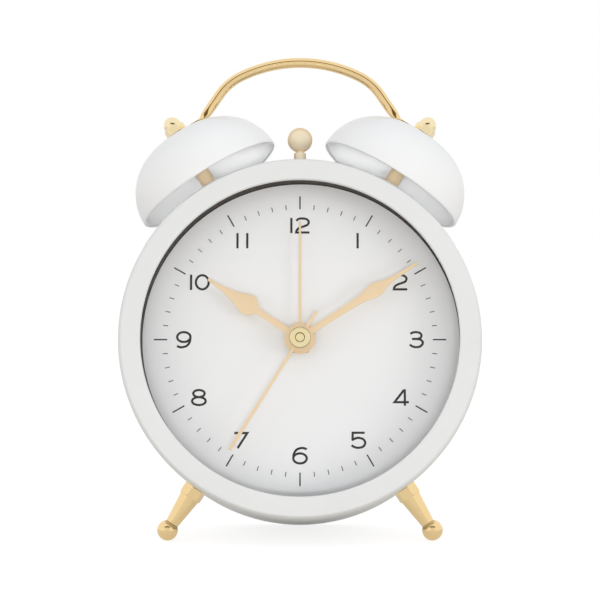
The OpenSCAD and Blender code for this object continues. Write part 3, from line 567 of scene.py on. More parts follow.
# Centre cap: its dark brown outline is painted edge shade.
CAP_GOLD = edged(grained(
    "cap_gold", [(1.0, 0.88, 0.54), (0.99, 0.86, 0.52)], (0.09, 0.14), 1500, 90, 0.0005, metallic=1.0),
    (0.16, 0.09, 0.03), 0.12, 0.8)
WHEEL_BRASS = grained(
    "wheel_brass", [(0.72, 0.52, 0.22), (0.66, 0.46, 0.18)], (0.25, 0.38), 1200, 150, 0.004, metallic=1.0)
DIAL_WHITE = grained(
    "dial_white", [(0.88, 0.89, 0.905), (0.86, 0.87, 0.885)], (0.55, 0.65), 3000, 25, 0.003)
DIAL_INK = grained(
    "dial_ink", [(0.012, 0.011, 0.01), (0.02, 0.018, 0.016)], (0.5, 0.6), 3000, 90, 0.002)
RING_BROWN = grained(
    "ring_brown", [(0.036, 0.024, 0.016), (0.03, 0.02, 0.013)], (0.6, 0.75), 2000, 60, 0.004,
    specular_ior_level=0.2)
# Black for the band at the dark ring's foot, which is painted shade deep in the tunnel.
SHADE_BAND_BLACK = grained(
    "painted_shade_black", [(0.006, 0.005, 0.004), (0.01, 0.008, 0.007)], (0.7, 0.85), 2000, 60, 0.004,
    specular_ior_level=0.1)
BACK_PLASTIC = grained(
    "moulded_white", [(0.80, 0.80, 0.79), (0.77, 0.77, 0.76)], (0.48, 0.6), 2600, 45, 0.012)
BLACK_PLASTIC = grained(
    "moulded_black", [(0.028, 0.028, 0.03), (0.038, 0.038, 0.04)], (0.42, 0.56), 2600, 60, 0.012)
BARE_STEEL = grained(
    "bare_steel", [(0.62, 0.63, 0.64), (0.55, 0.56, 0.57)], (0.24, 0.36), 1500, 140, 0.004, metallic=1.0)
SOFT_IRON = grained(
    "soft_iron", [(0.40, 0.41, 0.43), (0.33, 0.34, 0.36)], (0.4, 0.55), 1300, 110, 0.006, metallic=1.0)
COPPER_WIRE = grained(
    "copper_wire", [(0.60, 0.27, 0.11), (0.50, 0.21, 0.08)], (0.28, 0.4), 1600, 200, 0.01, metallic=1.0)
BOARD_GREEN = grained(
    "board_green", [(0.03, 0.12, 0.055), (0.04, 0.15, 0.07)], (0.35, 0.5), 1800, 120, 0.006)
CELL_SLEEVE = grained(
    "cell_sleeve", [(0.10, 0.11, 0.125), (0.13, 0.14, 0.155)], (0.28, 0.38), 1200, 80, 0.004)
CLEAR_LENS = lens_finish()


# Case

def bezel_outline():
    """Half section of the bezel: long rounded rim, window edge, seat of the lens and skirt."""
    rim = BEZEL_R - RIM_W
    outer = [(rim + RIM_W * math.sin(a), -RIM_T * (1 - math.cos(a))) for a in quarter_turn(16)]
    window = arc(WINDOW_R + WINDOW_ROUND, -WINDOW_ROUND, WINDOW_ROUND, 180, 90, 8)
    seat = GLASS_R + GLASS_GAP
    chamfer = 0.25
    inside = [(BEZEL_R, -BEZEL_DEPTH + chamfer), (BEZEL_R - chamfer, -BEZEL_DEPTH),
              (SKIRT_R, -BEZEL_DEPTH), (SKIRT_R, -SHOULDER_DEPTH), (seat, -SHOULDER_DEPTH),
              (seat, -LIP), (WINDOW_R, -LIP)]
    return window + outer + inside


def drum_outline():
    """Half section of the drum: spigot under the bezel, wall, rounded rear edge, dial flange."""
    rear = arc(DRUM_R - REAR_ROUND, -CASE_DEPTH + REAR_ROUND, REAR_ROUND, 0, -90, 10)
    front = [(SPIGOT_IN, -SHOULDER_DEPTH), (SPIGOT_R, -SHOULDER_DEPTH), (SPIGOT_R, -BEZEL_DEPTH),
             (DRUM_R, -BEZEL_DEPTH)]
    inside = [(DRUM_IN, -CASE_DEPTH), (DRUM_IN, -FLANGE_BACK), (FLANGE_IN, -FLANGE_BACK),
              (FLANGE_IN, -DIAL_BACK), (SPIGOT_IN, -DIAL_BACK)]
    return front + rear + inside


def make_case():
    """Bezel, drum with the hammer's slot, dark ring, and a black band at the ring's foot that is painted
    shade deep in the tunnel.
    """
    bezel = turned("bezel", bezel_outline(), CLOCK, CASE_AROUND)
    fit(bezel, WHITE_PAINT, "white_paint", "case", "front_bezel")
    drum = turned("drum", drum_outline(), CLOCK, CASE_AROUND)
    slot_round, slot_reach = 0.5, 6
    slot = plate("slot_cut", [oblong(SLOT_HALF, SLOT_DEPTH / 2, slot_round)], slot_reach, 0,
                 at_depth(BELL_DEPTH, 0, DRUM_R) @ ALONG_UP)
    changed(drum, "DIFFERENCE", [slot])
    fit(drum, WHITE_PAINT, "white_paint", "case", "case_drum")
    edge = 0.15
    outer = GLASS_R - RING_ASIDE
    ring = [(outer, -GLASS_BACK), (outer, -DIAL_DEPTH), (TUNNEL_R, -DIAL_DEPTH),
            (TUNNEL_R, -GLASS_BACK - edge), (TUNNEL_R + edge, -GLASS_BACK)]
    aside = CLOCK @ Matrix.Translation((RING_ASIDE, 0, 0))
    fit(turned("tunnel_ring", ring, aside, CASE_AROUND), RING_BROWN, "dark_ring", "case", "dial_ring")
    # A black band at the dark ring's foot, painted shade deep in the tunnel.
    band_in, band_out = TUNNEL_R - 0.02, TUNNEL_R + 0.1
    shade_band = [(band_out, -SHADE_BAND_DEPTH), (band_out, -DIAL_DEPTH),
            (band_in, -DIAL_DEPTH), (band_in, -SHADE_BAND_DEPTH)]
    fit(turned("tunnel_painted_shade", shade_band, aside, CASE_AROUND), SHADE_BAND_BLACK, "dark_ring", "case")


# Bells

def bell_wall(inset):
    """Half section of one face of a bell, from the lip to the hole for the stud."""
    side_r = BELL_SIDE_R - inset
    top = BELL_H - inset
    crown_r = (BELL_CORE ** 2 + top ** 2 - side_r ** 2) / (2 * (top - side_r))
    meet = math.degrees(math.atan2(crown_r - top, BELL_CORE))
    side = arc(BELL_CORE, 0, side_r, 0, meet, 40)
    hole = math.degrees(math.acos((STUD_R + STUD_GAP) / crown_r))
    return side + arc(0, top - crown_r, crown_r, meet, hole, 10)[1:]


def hexagon_ring(flats, height, limit, spin, around):
    """Points round a hexagon, kept inside a circle so that its corners are rounded off.

    A spin of zero turns a flat towards x."""
    ring = []
    for turn in full_turn(around):
        off = (turn - spin + math.pi / 6) % (math.pi / 3) - math.pi / 6
        radius = min(flats / 2 / math.cos(off), limit)
        ring.append((radius * math.cos(turn), radius * math.sin(turn), height))
    return ring


def cap_nut(name, place, spin):
    """Hexagon with turned-off corners and a dome."""
    flat = NUT_FLATS / 2
    corner = flat / math.cos(math.pi / 6)
    chamfer = 0.45
    limits = [(chamfer * (1 - math.cos(a)), flat + (corner - flat) * math.sin(a))
              for a in quarter_turn(10)]
    limits += [(NUT_HEX_H - chamfer * (1 - done), corner + (NUT_DOME_R - corner) * done ** 1.5)
               for done in [0.0] + shares(10)]
    limits += [(NUT_HEX_H + NUT_DOME_H * math.sin(a), NUT_DOME_R * math.cos(a))
               for a in quarter_turn(16)[1:-1]]
    rings = [hexagon_ring(NUT_FLATS, height, limit, spin, around=144) for height, limit in limits]
    rings.append([(0, 0, NUT_HEX_H + NUT_DOME_H)])
    return lofted(name, rings, place)


def make_bells(under_bells):
    """Bells, their inner coats, posts and nuts; the lamp under the bells lights coats and posts."""
    wall = BELL_WALL - LINING_T
    lip = arc(BELL_R - wall / 2, 0, wall / 2, 180, 360, 10)[1:-1]
    shell = lip + bell_wall(0) + bell_wall(wall)[::-1]
    coat = bell_wall(wall) + bell_wall(BELL_WALL)[::-1]
    post = [(0, POST_ROOT), (POST_R, POST_ROOT), (POST_R, POST_TOP), (STUD_R, POST_TOP),
            (STUD_R, STUD_END), (0, STUD_END)]
    for side, label in SIDES:
        place = on_bell(side)
        bell = turned("bell_shell_" + label, shell, place, BELL_AROUND)
        fit(bell, BELL_WHITE_LIT, "white_paint", "case", "bell_" + label)
        lining = turned("bell_lining_" + label, coat, place, BELL_AROUND)
        under_bells.objects.link(fit(lining, BELL_WHITE_LIT, "white_paint", "case"))
        pillar = turned("bell_pillar_" + label, post, place, around=64)
        under_bells.objects.link(fit(pillar, PALE_GOLD, "brass", "case", "bell_post_" + label))
        seat = place @ Matrix.Translation((0, 0, NUT_BASE))
        nut = cap_nut("cap_nut_" + label, seat, -side * NUT_TURN)
        fit(nut, BRIGHT_GOLD, "brass", "case", "bell_nut_" + label)


# Handle

def rod_size(flat):
    """Half thickness and half width of the rod, from round at 0 to flat as the lug at 1."""
    return ROD_R + (LUG_T / 2 - ROD_R) * flat, ROD_R + (LUG_W / 2 - ROD_R) * flat


def handle_path():
    """Right half of the rod from the top down: (x, y, direction, half thickness, half width)."""
    path = []
    for done in [0.0] + shares(24):
        turn = ARCH_HALF * done
        path.append((ARCH_R * math.sin(turn), ARCH_Y + ARCH_R * math.cos(turn), turn, ROD_R, ROD_R))
    leg_turn = math.pi / 2 - LEG_TILT
    for done in shares(18):
        turn = ARCH_HALF + (leg_turn - ARCH_HALF) * done
        path.append((SHOULDER_X + SHOULDER_R * math.sin(turn), SHOULDER_Y + SHOULDER_R * math.cos(turn),
                     turn, ROD_R, ROD_R))
    start = Vector(path[-1][:2])
    axis = Vector((math.sin(BELL_TILT), math.cos(BELL_TILT)))
    along = Vector((math.cos(BELL_TILT), -math.sin(BELL_TILT)))
    lip = Vector((BELL_X, BELL_Y))
    down = Vector((math.sin(LEG_TILT), -math.cos(LEG_TILT)))
    lug_mid = CROWN + LUG_T / 2
    run = ((start - lip).dot(axis) - lug_mid) / -down.dot(axis)
    meet = start + down * run
    bend = leg_turn - BELL_TILT
    bend_run = LUG_BEND_R * math.tan(bend / 2)
    reach = -(meet - lip).dot(along)
    flat_run, flat_at_bend = 5.0, 0.55
    straight = run - bend_run
    for done in shares(12):
        flat = max(0.0, 1 - (1 - done) * straight / flat_run) ** 2 * flat_at_bend
        path.append((*(start + down * straight * done), leg_turn, *rod_size(flat)))
    centre = meet - down * bend_run + Vector((math.cos(LEG_TILT), math.sin(LEG_TILT))) * LUG_BEND_R
    for done in shares(8):
        turn = leg_turn - bend * done
        point = centre - Vector((math.sin(turn), math.cos(turn))) * LUG_BEND_R
        path.append((*point, turn, *rod_size(flat_at_bend + (1 - flat_at_bend) * done)))
    end = lip + axis * lug_mid
    first = end - along * (reach - bend_run)
    for done in shares(4):
        path.append((*(first + (end - first) * done), BELL_TILT, LUG_T / 2, LUG_W / 2))
    for turn in quarter_turn(14)[1:]:
        point = end + along * LUG_W / 2 * math.sin(turn)
        path.append((*point, BELL_TILT, LUG_T / 2, LUG_W / 2 * math.cos(turn)))
    return path


def rod_ring(x, y, turn, thick, wide):
    """Cross section of the rod: round where it is a rod, a rounded slab where it is flattened."""
    slab = 2 / (2 + 4 * max(0.0, min(1.0, wide / thick - 1)))
    ring = []
    for a in full_turn(around=48):
        c = math.copysign(abs(math.cos(a)) ** slab, math.cos(a))
        s = math.copysign(abs(math.sin(a)) ** slab, math.sin(a))
        ring.append((x + math.sin(turn) * thick * c, y + math.cos(turn) * thick * c, wide * s))
    return ring


def make_handle():
    """Rod bent over both bells, with an end flattened under each nut."""
    right = handle_path()
    left = [(-x, y, -turn, thick, wide) for x, y, turn, thick, wide in right[:0:-1]]
    rings = [rod_ring(*station) for station in left + right]
    handle = lofted("carry_handle", rings, at_depth(BELL_DEPTH))
    fit(handle, POLISHED_GOLD, "brass", "case", "handle")


# Hammer

def make_hammer():
    """Ball on a narrow neck, with a collar round the rod below it."""
    below = -HAMMER_BALL_R
    neck, collar_r = 1.3, 2.0
    collar_top, collar_end = below - 0.4, below - 3.2
    ball = arc(0, 0, HAMMER_BALL_R, 90, -math.degrees(math.acos(neck / HAMMER_BALL_R)), 40)
    collar = eased([(neck, collar_top, 0), (collar_r, collar_top, 0.15), (collar_r, collar_end, 0.3),
                    (HAMMER_ROD_R, collar_end, 0)])
    outline = ball + collar + [(HAMMER_ROD_R, below), (0, below)]
    fit(turned("hammer_head", outline, at_depth(BELL_DEPTH, 0, HAMMER_Y) @ ALONG_UP, around=96),
        HAMMER_GOLD, "brass", "hammer", "hammer_ball")


# Feet

def to_drum(side, ring):
    """Moves a ring along the foot's axis until it lies on the drum's skin."""
    up = Vector((-side * math.sin(FOOT_TILT), math.cos(FOOT_TILT)))
    across = Vector((math.cos(FOOT_TILT), side * math.sin(FOOT_TILT)))
    base = Vector((side * FOOT_X, -FOOT_Y))
    sunk = 0.1
    seated = []
    for x, y, _ in ring:
        start = base + across * x
        along = start.dot(up)
        inside = along ** 2 - start.length_squared + (DRUM_R - sunk) ** 2
        seated.append((x, y, -along - math.sqrt(inside)))
    return seated


def make_feet():
    """Turned feet: a ball, a taper and a hexagon turned off where the taper meets it."""
    neck_z = math.sqrt(FOOT_BALL_R ** 2 - FOOT_NECK_R ** 2)
    hexagon_z = neck_z + FOOT_TAPER
    top_r = FOOT_FLATS / 2 - 0.05
    blunt = 0.985
    corner = FOOT_FLATS / 2 / math.cos(math.pi / 6) * blunt
    spread, shoulder = top_r - FOOT_NECK_R, corner - top_r
    neck = math.degrees(math.asin(neck_z / FOOT_BALL_R))
    profile = arc(0, 0, FOOT_BALL_R, -90, neck, 36)[1:]
    profile += [(FOOT_NECK_R + spread * done, neck_z + FOOT_TAPER * done) for done in shares(10)]
    profile += [(top_r + shoulder * done, hexagon_z + shoulder * done) for done in shares(10)]
    for side, label in SIDES:
        spin = side * FOOT_TURN
        rings = [[(0, 0, -FOOT_BALL_R)]]
        rings += [hexagon_ring(FOOT_FLATS, z, r, spin, around=192) for r, z in profile]
        rings.append(to_drum(side, rings[-1]))
        foot = lofted("foot_" + label + "_turned", rings, on_foot(side))
        fit(foot, POLISHED_GOLD, "brass", "case", "foot_" + label)


# Hands

def hand_outline(boss, root, arm, tail=()):
    """Outline of a hand that points to twelve: a round boss, an arm and sometimes a tail.

    The arm and the tail leave the boss with the half width root, and go on through
    (distance, half width) stations."""
    edge = math.sqrt(boss ** 2 - root ** 2)
    top = math.degrees(math.acos(root / boss))
    blade = flowing([(root, edge)] + [(half, far) for far, half in arm], 10)
    if tail:
        back = [(root, -edge)] + [(half, -far) for far, half in tail]
        right = back[::-1] + arc(0, 0, boss, -top, top, 40)[1:-1] + blade
    else:
        right = arc(0, 0, boss, -90, top, 60)[1:-1] + blade
    left = [(-x, y) for x, y in right[::-1]]
    return right + left


def make_hands():
    """Four hands on one centre and the cap on the second hand, with a dish in its end."""
    edge = 0.08
    hour = hand_outline(HOUR_BOSS, 1.02, [
        (10, 1.0), (15.2, 1.02), (16.2, 1.15), (16.7, 1.55), (17.2, 2.15), (17.9, 2.75), (18.7, 3.15),
        (19.6, 3.3), (20.6, 3.18), (21.8, 2.8), (23.4, 2.15), (25.4, 1.52), (28, 1.03), (31, 0.7),
        (33.5, 0.5), (34.7, 0.42), (35.0, 0.15)])
    minute = hand_outline(MINUTE_BOSS, 1.05, [
        (12, 1.06), (20, 1.18), (23.8, 1.42), (26.4, 1.98), (27.5, 2.28), (28.4, 2.38), (29.4, 2.25),
        (30.8, 1.75), (32.4, 1.25), (34.2, 0.9), (36.6, 0.68), (40, 0.56), (43.9, 0.46), (44.4, 0.2)])
    second = hand_outline(SECOND_BOSS, 0.48, [(20, 0.5), (36, 0.54), (41.6, 0.54), (41.8, 0.4)],
                          [(9.7, 0.52), (9.9, 0.35)])
    alarm = hand_outline(ALARM_BOSS, 0.46, [(20, 0.4), (37.3, 0.32), (37.6, 0.15)])
    for name, outline, bore, angle, front, body in (
            ("hour", hour, 1.83, HOUR_ANGLE, HOUR_FRONT, "hour_group"),
            ("minute", minute, 1.2, MINUTE_ANGLE, MINUTE_FRONT, "minute_group"),
            ("second", second, 0.55, SECOND_ANGLE, SECOND_FRONT, "second_group"),
            ("alarm", alarm, 2.48, ALARM_ANGLE, ALARM_FRONT, "alarm_group")):
        place = at_depth(front + HAND_T / 2) @ Matrix.Rotation(-math.radians(angle), 4, "Z")
        hand = plate(name + "_pointer", [outline, circle(bore)], HAND_T, edge, place)
        fit(hand, PALE_GOLD, "hand_gold", body, name + "_hand")
    dish_in, dish_out, dish = 1.3, 1.6, -CAP_FRONT - 0.9
    bore, bore_end = 0.6, -SECOND_FRONT + 0.2
    cap = eased([(0, dish, 0), (dish_in, dish, 0.3), (dish_out, -CAP_FRONT, 0.15),
                 (CAP_R, -CAP_FRONT, 0.5), (CAP_R, -SECOND_FRONT, 0.05), (bore, -SECOND_FRONT, 0),
                 (bore, bore_end, 0), (0, bore_end, 0)])
    fit(turned("centre_cap", cap, CLOCK, around=128), CAP_GOLD, "brass", "second_group", "second_cap")


# Dial marks

INK_T = 0.03
INK_WELD = 2e-3
NUMBER_RING = 37.0
PEN = 0.36
# The least cosine at which a corner of a pen line still gets its full point
SHARPEST = 0.4
TICK_INNER = 42.3
MAJOR_TICK = (4.25, 0.22)
MINOR_TICK = (1.55, 0.13)


def oval(cx, cy, half_w, half_h):
    """Closed ellipse round a centre."""
    return [(cx + half_w * x, cy + half_h * y) for x, y in circle(1, steps=48)]


SIX_TAIL = flowing([(2.15, 2.05), (1.35, 2.38), (0.4, 2.45), (-0.95, 2.0), (-1.85, 0.85), (-2.12, -0.7)])
SIX_LOOP = oval(0.0, -0.82, 2.12, 1.58)
# Pen lines of each figure: (points, closed)
FIGURES = {
    "0": [(oval(0, 0, 2.05, 2.28), True)],
    "1": [([(0, 2.5), (0, -2.5)], False)],
    "2": [(flowing([(-2.0, 1.55), (-1.2, 2.15), (0, 2.32), (1.3, 2.1), (2.02, 1.25), (1.6, 0.25),
                    (0.4, -0.28), (-1.1, -0.85), (-1.85, -1.6), (-2.02, -2.28)])
           + [(2.25, -2.28)], False)],
    "3": [(flowing([(-1.85, 1.85), (-1.1, 2.26), (0, 2.4), (1.15, 2.15), (1.7, 1.4), (1.4, 0.62),
                    (0.6, 0.22)])
           + [(-1.35, 0.2)], False),
          (flowing([(0.3, 0.2), (1.35, 0.0), (2.05, -0.75), (1.95, -1.5), (1.2, -2.2), (0, -2.42),
                    (-1.2, -2.2), (-2.05, -1.6)]), False)],
    "4": [([(1.18, 2.6), (1.18, -2.65)], False),
          ([(1.02, 2.45), (-2.1, -1.5), (2.45, -1.5)], False)],
    "5": [([(1.95, 2.33), (-1.85, 2.33), (-1.9, -0.15)], False),
          (flowing([(-2.1, -0.06), (-1.0, 0.55), (0.1, 0.72), (1.5, 0.25), (2.1, -0.85), (1.55, -1.95),
                    (0.1, -2.42), (-1.3, -2.2), (-2.2, -1.65)]), False)],
    "6": [(SIX_TAIL, False), (SIX_LOOP, True)],
    "7": [([(-2.25, 2.25), (1.85, 2.25), (-1.2, -2.55)], False)],
    "8": [(oval(0, 1.24, 1.8, 1.12), True), (oval(0, -1.16, 2.15, 1.26), True)],
    "9": [([(-x, -y) for x, y in SIX_TAIL], False), ([(-x, -y) for x, y in SIX_LOOP], True)],
}
# Half width of each figure that follows a 1, and the gap between the two
SECOND_FIGURE = {"0": (2.38, 0.85), "1": (PEN, 2.42), "2": (2.35, 0.85)}


def pen_outlines(points, closed):
    """Outlines of a line drawn with a flat pen: one for an open line, two for a loop."""
    known = [Vector(p) for p in points]
    count = len(known)
    sides = ([], [])
    for i, point in enumerate(known):
        before = (point - known[i - 1]).normalized() if closed or i > 0 else None
        after = (known[(i + 1) % count] - point).normalized() if closed or i + 1 < count else None
        before, after = before or after, after or before
        way = (before + after).normalized()
        reach = PEN / max(SHARPEST, way.dot(after))
        offset = Vector((-way.y, way.x)) * reach
        sides[0].append(tuple(point + offset))
        sides[1].append(tuple(point - offset))
    if closed:
        return [sides[0], sides[1]]
    return [sides[0] + sides[1][::-1]]


def figure(name, digit, x, y):
    """One figure of a number in ink, with its centre at x, y on the dial."""
    place = at_depth(DIAL_DEPTH - INK_T / 2, x, y)
    strokes = [plate(name + "_" + str(i), pen_outlines(points, closed), INK_T, 0, Matrix.Identity(4))
               for i, (points, closed) in enumerate(FIGURES[digit])]
    if len(strokes) > 1:
        changed(strokes[0], "UNION", strokes[1:], INK_WELD)
    strokes[0].data.transform(place)
    return strokes[0]


def make_dial_marks():
    """Numbers from 1 to 12 and a ring of sixty marks, as thin plates of ink on the dial."""
    figures = []
    for hour in range(1, 13):
        turn = math.radians(30 * hour)
        x, y = NUMBER_RING * math.sin(turn), NUMBER_RING * math.cos(turn)
        digits = str(hour)
        offsets = [0.0]
        if len(digits) == 2:
            last, gap = SECOND_FIGURE[digits[1]]
            reach = PEN + gap / 2 + last
            offsets = [PEN - reach, reach - last]
        for i, (digit, offset) in enumerate(zip(digits, offsets)):
            figures.append(figure("figure_" + digits + "_" + str(i), digit, x + offset, y))
    fit(joined("dial_numbers", figures), DIAL_INK, "dark_ring", "case")
    bm = bmesh.new()
    for minute in range(60):
        length, half = MINOR_TICK if minute % 5 else MAJOR_TICK
        turn = Matrix.Rotation(-math.radians(6 * minute), 4, "Z")
        low, high = TICK_INNER, TICK_INNER + length
        corners = [(-half, low), (half, low), (half, high), (-half, high)]
        rings = [[bm.verts.new(turn @ Vector((x, y, z))) for x, y in corners] for z in (0, INK_T)]
        skin(bm, *rings)
        bm.faces.new(rings[0])
        bm.faces.new(rings[1])
    fit(piece_from("minute_track", bm, at_depth(DIAL_DEPTH)), DIAL_INK, "dark_ring", "case")


# Back

def make_cover():
    """Round cover with the battery tray, the door's seat, a finger notch and its holes."""
    half_l, half_w = BOX_L / 2, BOX_W / 2
    edge, outer_round, inner_round = 0.25, 0.8, 0.6
    slot_x, slot_half = SWITCH_TRAVEL / 2, (SWITCH_W + SWITCH_TRAVEL) / 2 + SWITCH_GAP
    holes = [oblong(DOOR_L / 2 + DOOR_GAP, DOOR_W / 2 + DOOR_GAP, outer_round, 0, BOX_Y),
             oblong(slot_half, SWITCH_H / 2 + SWITCH_GAP, SWITCH_ROUND, slot_x, SWITCH_Y),
             circle(KNOB_ARBOR_HOLE, TIME_KNOB_X), circle(KNOB_ARBOR_HOLE, ALARM_KNOB_X)]
    cover = plate("rear_cover", [circle(COVER_R, steps=240)] + holes, COVER_T, edge,
                  at_depth(COVER_BACK - COVER_T / 2))
    seat = COVER_BACK - DOOR_T
    walls = plate("tray_walls", [oblong(half_l, half_w, outer_round, 0, BOX_Y),
                                 oblong(half_l - BOX_WALL, half_w - BOX_WALL, inner_round, 0, BOX_Y)],
                  seat - BOX_FRONT, 0, at_depth((seat + BOX_FRONT) / 2))
    inset, rise = 0.3, 0.1
    floor = plate("tray_floor", [oblong(half_l - inset, half_w - inset, inner_round, 0, BOX_Y)],
                  BOX_WALL, 0, at_depth(BOX_FRONT + BOX_WALL / 2 + rise))
    notch_r, notch_half = 5, 1.5
    notch = turned("notch_cut", [(0, -notch_half), (notch_r, -notch_half), (notch_r, notch_half),
                                 (0, notch_half)],
                   at_depth(COVER_BACK, 0, BOX_Y + half_w) @ ALONG_UP, around=96)
    changed(cover, "UNION", [walls, floor])
    changed(cover, "DIFFERENCE", [notch])
    fit(cover, BACK_PLASTIC, "back_plastic", "case", "back_cover")


def make_door():
    """Loose plate over the battery with a grip of five grooves."""
    edge, corner = 0.18, 0.7
    door = plate("battery_lid", [oblong(DOOR_L / 2, DOOR_W / 2, corner, 0, BOX_Y)], DOOR_T, edge,
                 at_depth(COVER_BACK - DOOR_T / 2))
    first, pitch = BOX_Y + DOOR_W / 2 - 3.4, 1.6
    half_l, half_w, groove_round, groove_t = 8, 0.4, 0.35, 0.8
    rows = [oblong(half_l, half_w, groove_round, 0, first - pitch * i) for i in range(5)]
    grooves = [plate("groove_cut", [row], groove_t, 0, at_depth(COVER_BACK)) for row in rows]
    changed(door, "DIFFERENCE", grooves)
    fit(door, BACK_PLASTIC, "back_plastic", "door", "battery_door")


def make_screws():
    """Pan heads with a cross slot."""
    tip, under, rim, crown = -7, 0.05, 0.5, 0.9
    chamfer = 0.1
    outline = [(0, tip), (SCREW_R, tip), (SCREW_R, under), (SCREW_HEAD_R - chamfer, under),
               (SCREW_HEAD_R, under + chamfer)]
    outline += [(SCREW_HEAD_R * math.cos(a), rim + crown * math.sin(a)) for a in quarter_turn(10)]
    half, reach, cut_t, cut_middle = 0.3, 1.5, 2, 1.6
    arm = [(half, half), (reach, half), (reach, -half)]
    quarters = ((1, 0), (0, -1), (-1, 0), (0, 1))
    cross = [(x * c - y * s, x * s + y * c) for c, s in quarters for x, y in arm]
    screws = []
    for angle in (60, 180, 300):
        turn = math.radians(angle)
        place = at_depth(COVER_BACK, SCREW_RING * math.sin(turn), SCREW_RING * math.cos(turn)) @ TO_BACK
        screw = turned("screw_" + str(angle), outline, place, around=64)
        lift = Matrix.Translation((0, 0, cut_middle)) @ Matrix.Rotation(turn / 2, 4, "Z")
        cut = plate("cross_cut", [cross], cut_t, 0, place @ lift)
        screws.append(changed(screw, "DIFFERENCE", [cut]))
    fit(joined("cover_screws", screws), BARE_STEEL, "steel", "case", "back_screws")


def knob_ring(limit, height, fluted):
    """Points round a knob, with eighteen finger grooves where it is fluted."""
    count, reach, groove = 18, KNOB_R + 0.3, 0.9
    ring = []
    for turn in full_turn(around=288):
        off = (turn + math.pi / count) % (2 * math.pi / count) - math.pi / count
        aside = reach * math.sin(off)
        radius = limit
        if fluted and abs(aside) < groove:
            radius = min(limit, reach * math.cos(off) - math.sqrt(groove ** 2 - aside ** 2))
        ring.append((radius * math.cos(turn), radius * math.sin(turn), height))
    return ring


def make_knobs():
    """Fluted knobs with a collar at the root, an eased crown and a shallow dish in the end."""
    step, top, middle = KNOB_H - 1, KNOB_H, KNOB_H - 0.65
    # Stations as (inset from the knob's radius, height, fluted)
    profile = [(0.3, 0, False), (0, 0.3, False), (0, 1.15, False), (0, 1.25, True), (0, step - 0.4, True),
               (0.15, step - 0.12, True), (0.4, step, True), (1, step, False), (1, top - 0.3, False),
               (1.1, top - 0.1, False), (1.3, top, False), (2, top, False), (2.3, top - 0.15, False),
               (3.2, top - 0.45, False), (5, top - 0.6, False)]
    sharp = 30
    rings = [knob_ring(KNOB_R - inset, height, fluted) for inset, height, fluted in profile]
    rings.append([(0, 0, middle)])
    for name, x, body in (("time", TIME_KNOB_X, "setting_group"),
                          ("alarm", ALARM_KNOB_X, "alarm_knob_group")):
        knob = lofted(name + "_setter", rings, at_depth(KNOB_FRONT, x) @ TO_BACK, sharp)
        fit(knob, BLACK_PLASTIC, "black_plastic", body, name + "_knob")


def make_switch():
    """Sliding stub with three grip grooves, on a plate inside the cover."""
    half_w, half_h, edge = SWITCH_W / 2, SWITCH_H / 2, 0.2
    top, root = COVER_BACK + 1.2, COVER_BACK - COVER_T - 0.1
    stub = plate("switch_slider", [oblong(half_w, half_h, SWITCH_ROUND, 0, SWITCH_Y)], top - root, edge,
                 at_depth((top + root) / 2))
    foot_t, foot_middle, foot_round = 1.0, root - 0.45, 0.5
    foot = plate("slider_plate", [oblong(half_w + 1.5, half_h + 1.2, foot_round, 0, SWITCH_Y)], foot_t, 0,
                 at_depth(foot_middle))
    pitch, groove_half, groove_t = 0.7, 0.25, 0.7
    rows = [oblong(groove_half, SWITCH_H, 0, x, SWITCH_Y) for x in (-pitch, 0.0, pitch)]
    grooves = [plate("groove_cut", [row], groove_t, 0, at_depth(top)) for row in rows]
    changed(stub, "UNION", [foot])
    changed(stub, "DIFFERENCE", grooves)
    fit(stub, BLACK_PLASTIC, "black_plastic", "switch", "alarm_switch")


def make_cell():
    """Battery with rolled edges and its nub."""
    nub_r, shoulder = 2.7, CELL_L - 1.2
    outline = eased([(0, 0, 0), (CELL_R, 0, 0.6), (CELL_R, shoulder, 0.8), (nub_r, shoulder, 0.1),
                     (nub_r, CELL_L, 0.4), (0, CELL_L, 0)])
    place = at_depth(CELL_DEPTH, -CELL_L / 2, BOX_Y) @ Matrix.Rotation(math.pi / 2, 4, "Y")
    fit(turned("cell", outline, place, around=96), CELL_SLEEVE, "battery_sleeve", "case", "battery")


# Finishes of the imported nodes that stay

KEPT_FINISHES = [
    (CLEAR_LENS, ["glass_lens"]),
    (DIAL_WHITE, ["dial"]),
    (BLACK_PLASTIC, ["movement_housing", "movement_cover"]),
    (BARE_STEEL, ["hammer_bracket", "hammer_pin", "battery_contact_plus", "battery_contact_minus"]),
    (WHEEL_BRASS, ["second_wheel", "cannon_pinion", "hour_wheel", "setting_wheel", "alarm_wheel",
                   "alarm_arbor", "dial_nut", "post_nuts", "foot_nuts"]),
    (BRIGHT_GOLD, ["hammer_arm"]),
    (SOFT_IRON, ["stator", "rotor", "magnet_core", "armature"]),
    (COPPER_WIRE, ["motor_coil", "magnet_coil"]),
    (BOARD_GREEN, ["circuit_board"]),
]


def finish_kept_nodes():
    """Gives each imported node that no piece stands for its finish."""
    for finish, names in KEPT_FINISHES:
        for name in names:
            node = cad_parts[name]
            if not node.material_slots:
                node.data.materials.append(finish)
            for slot in node.material_slots:
                slot.material = finish


# Studio

CAMERA_AT = (0.0, -0.6419, 0.1083)
CAMERA_PITCH = math.radians(-2.942)
CAMERA_LENS = 118.3


def make_camera():
    """Camera that takes the photo's view."""
    data = bpy.data.cameras.new("photo_camera")
    data.sensor_width = 36
    data.lens = CAMERA_LENS
    data.clip_start = 0.01
    data.clip_end = 50
    camera = bpy.data.objects.new("photo_camera", data)
    camera.location = CAMERA_AT
    camera.rotation_euler = (math.pi / 2 + CAMERA_PITCH, 0, 0)
    scene.collection.objects.link(camera)
    scene.camera = camera


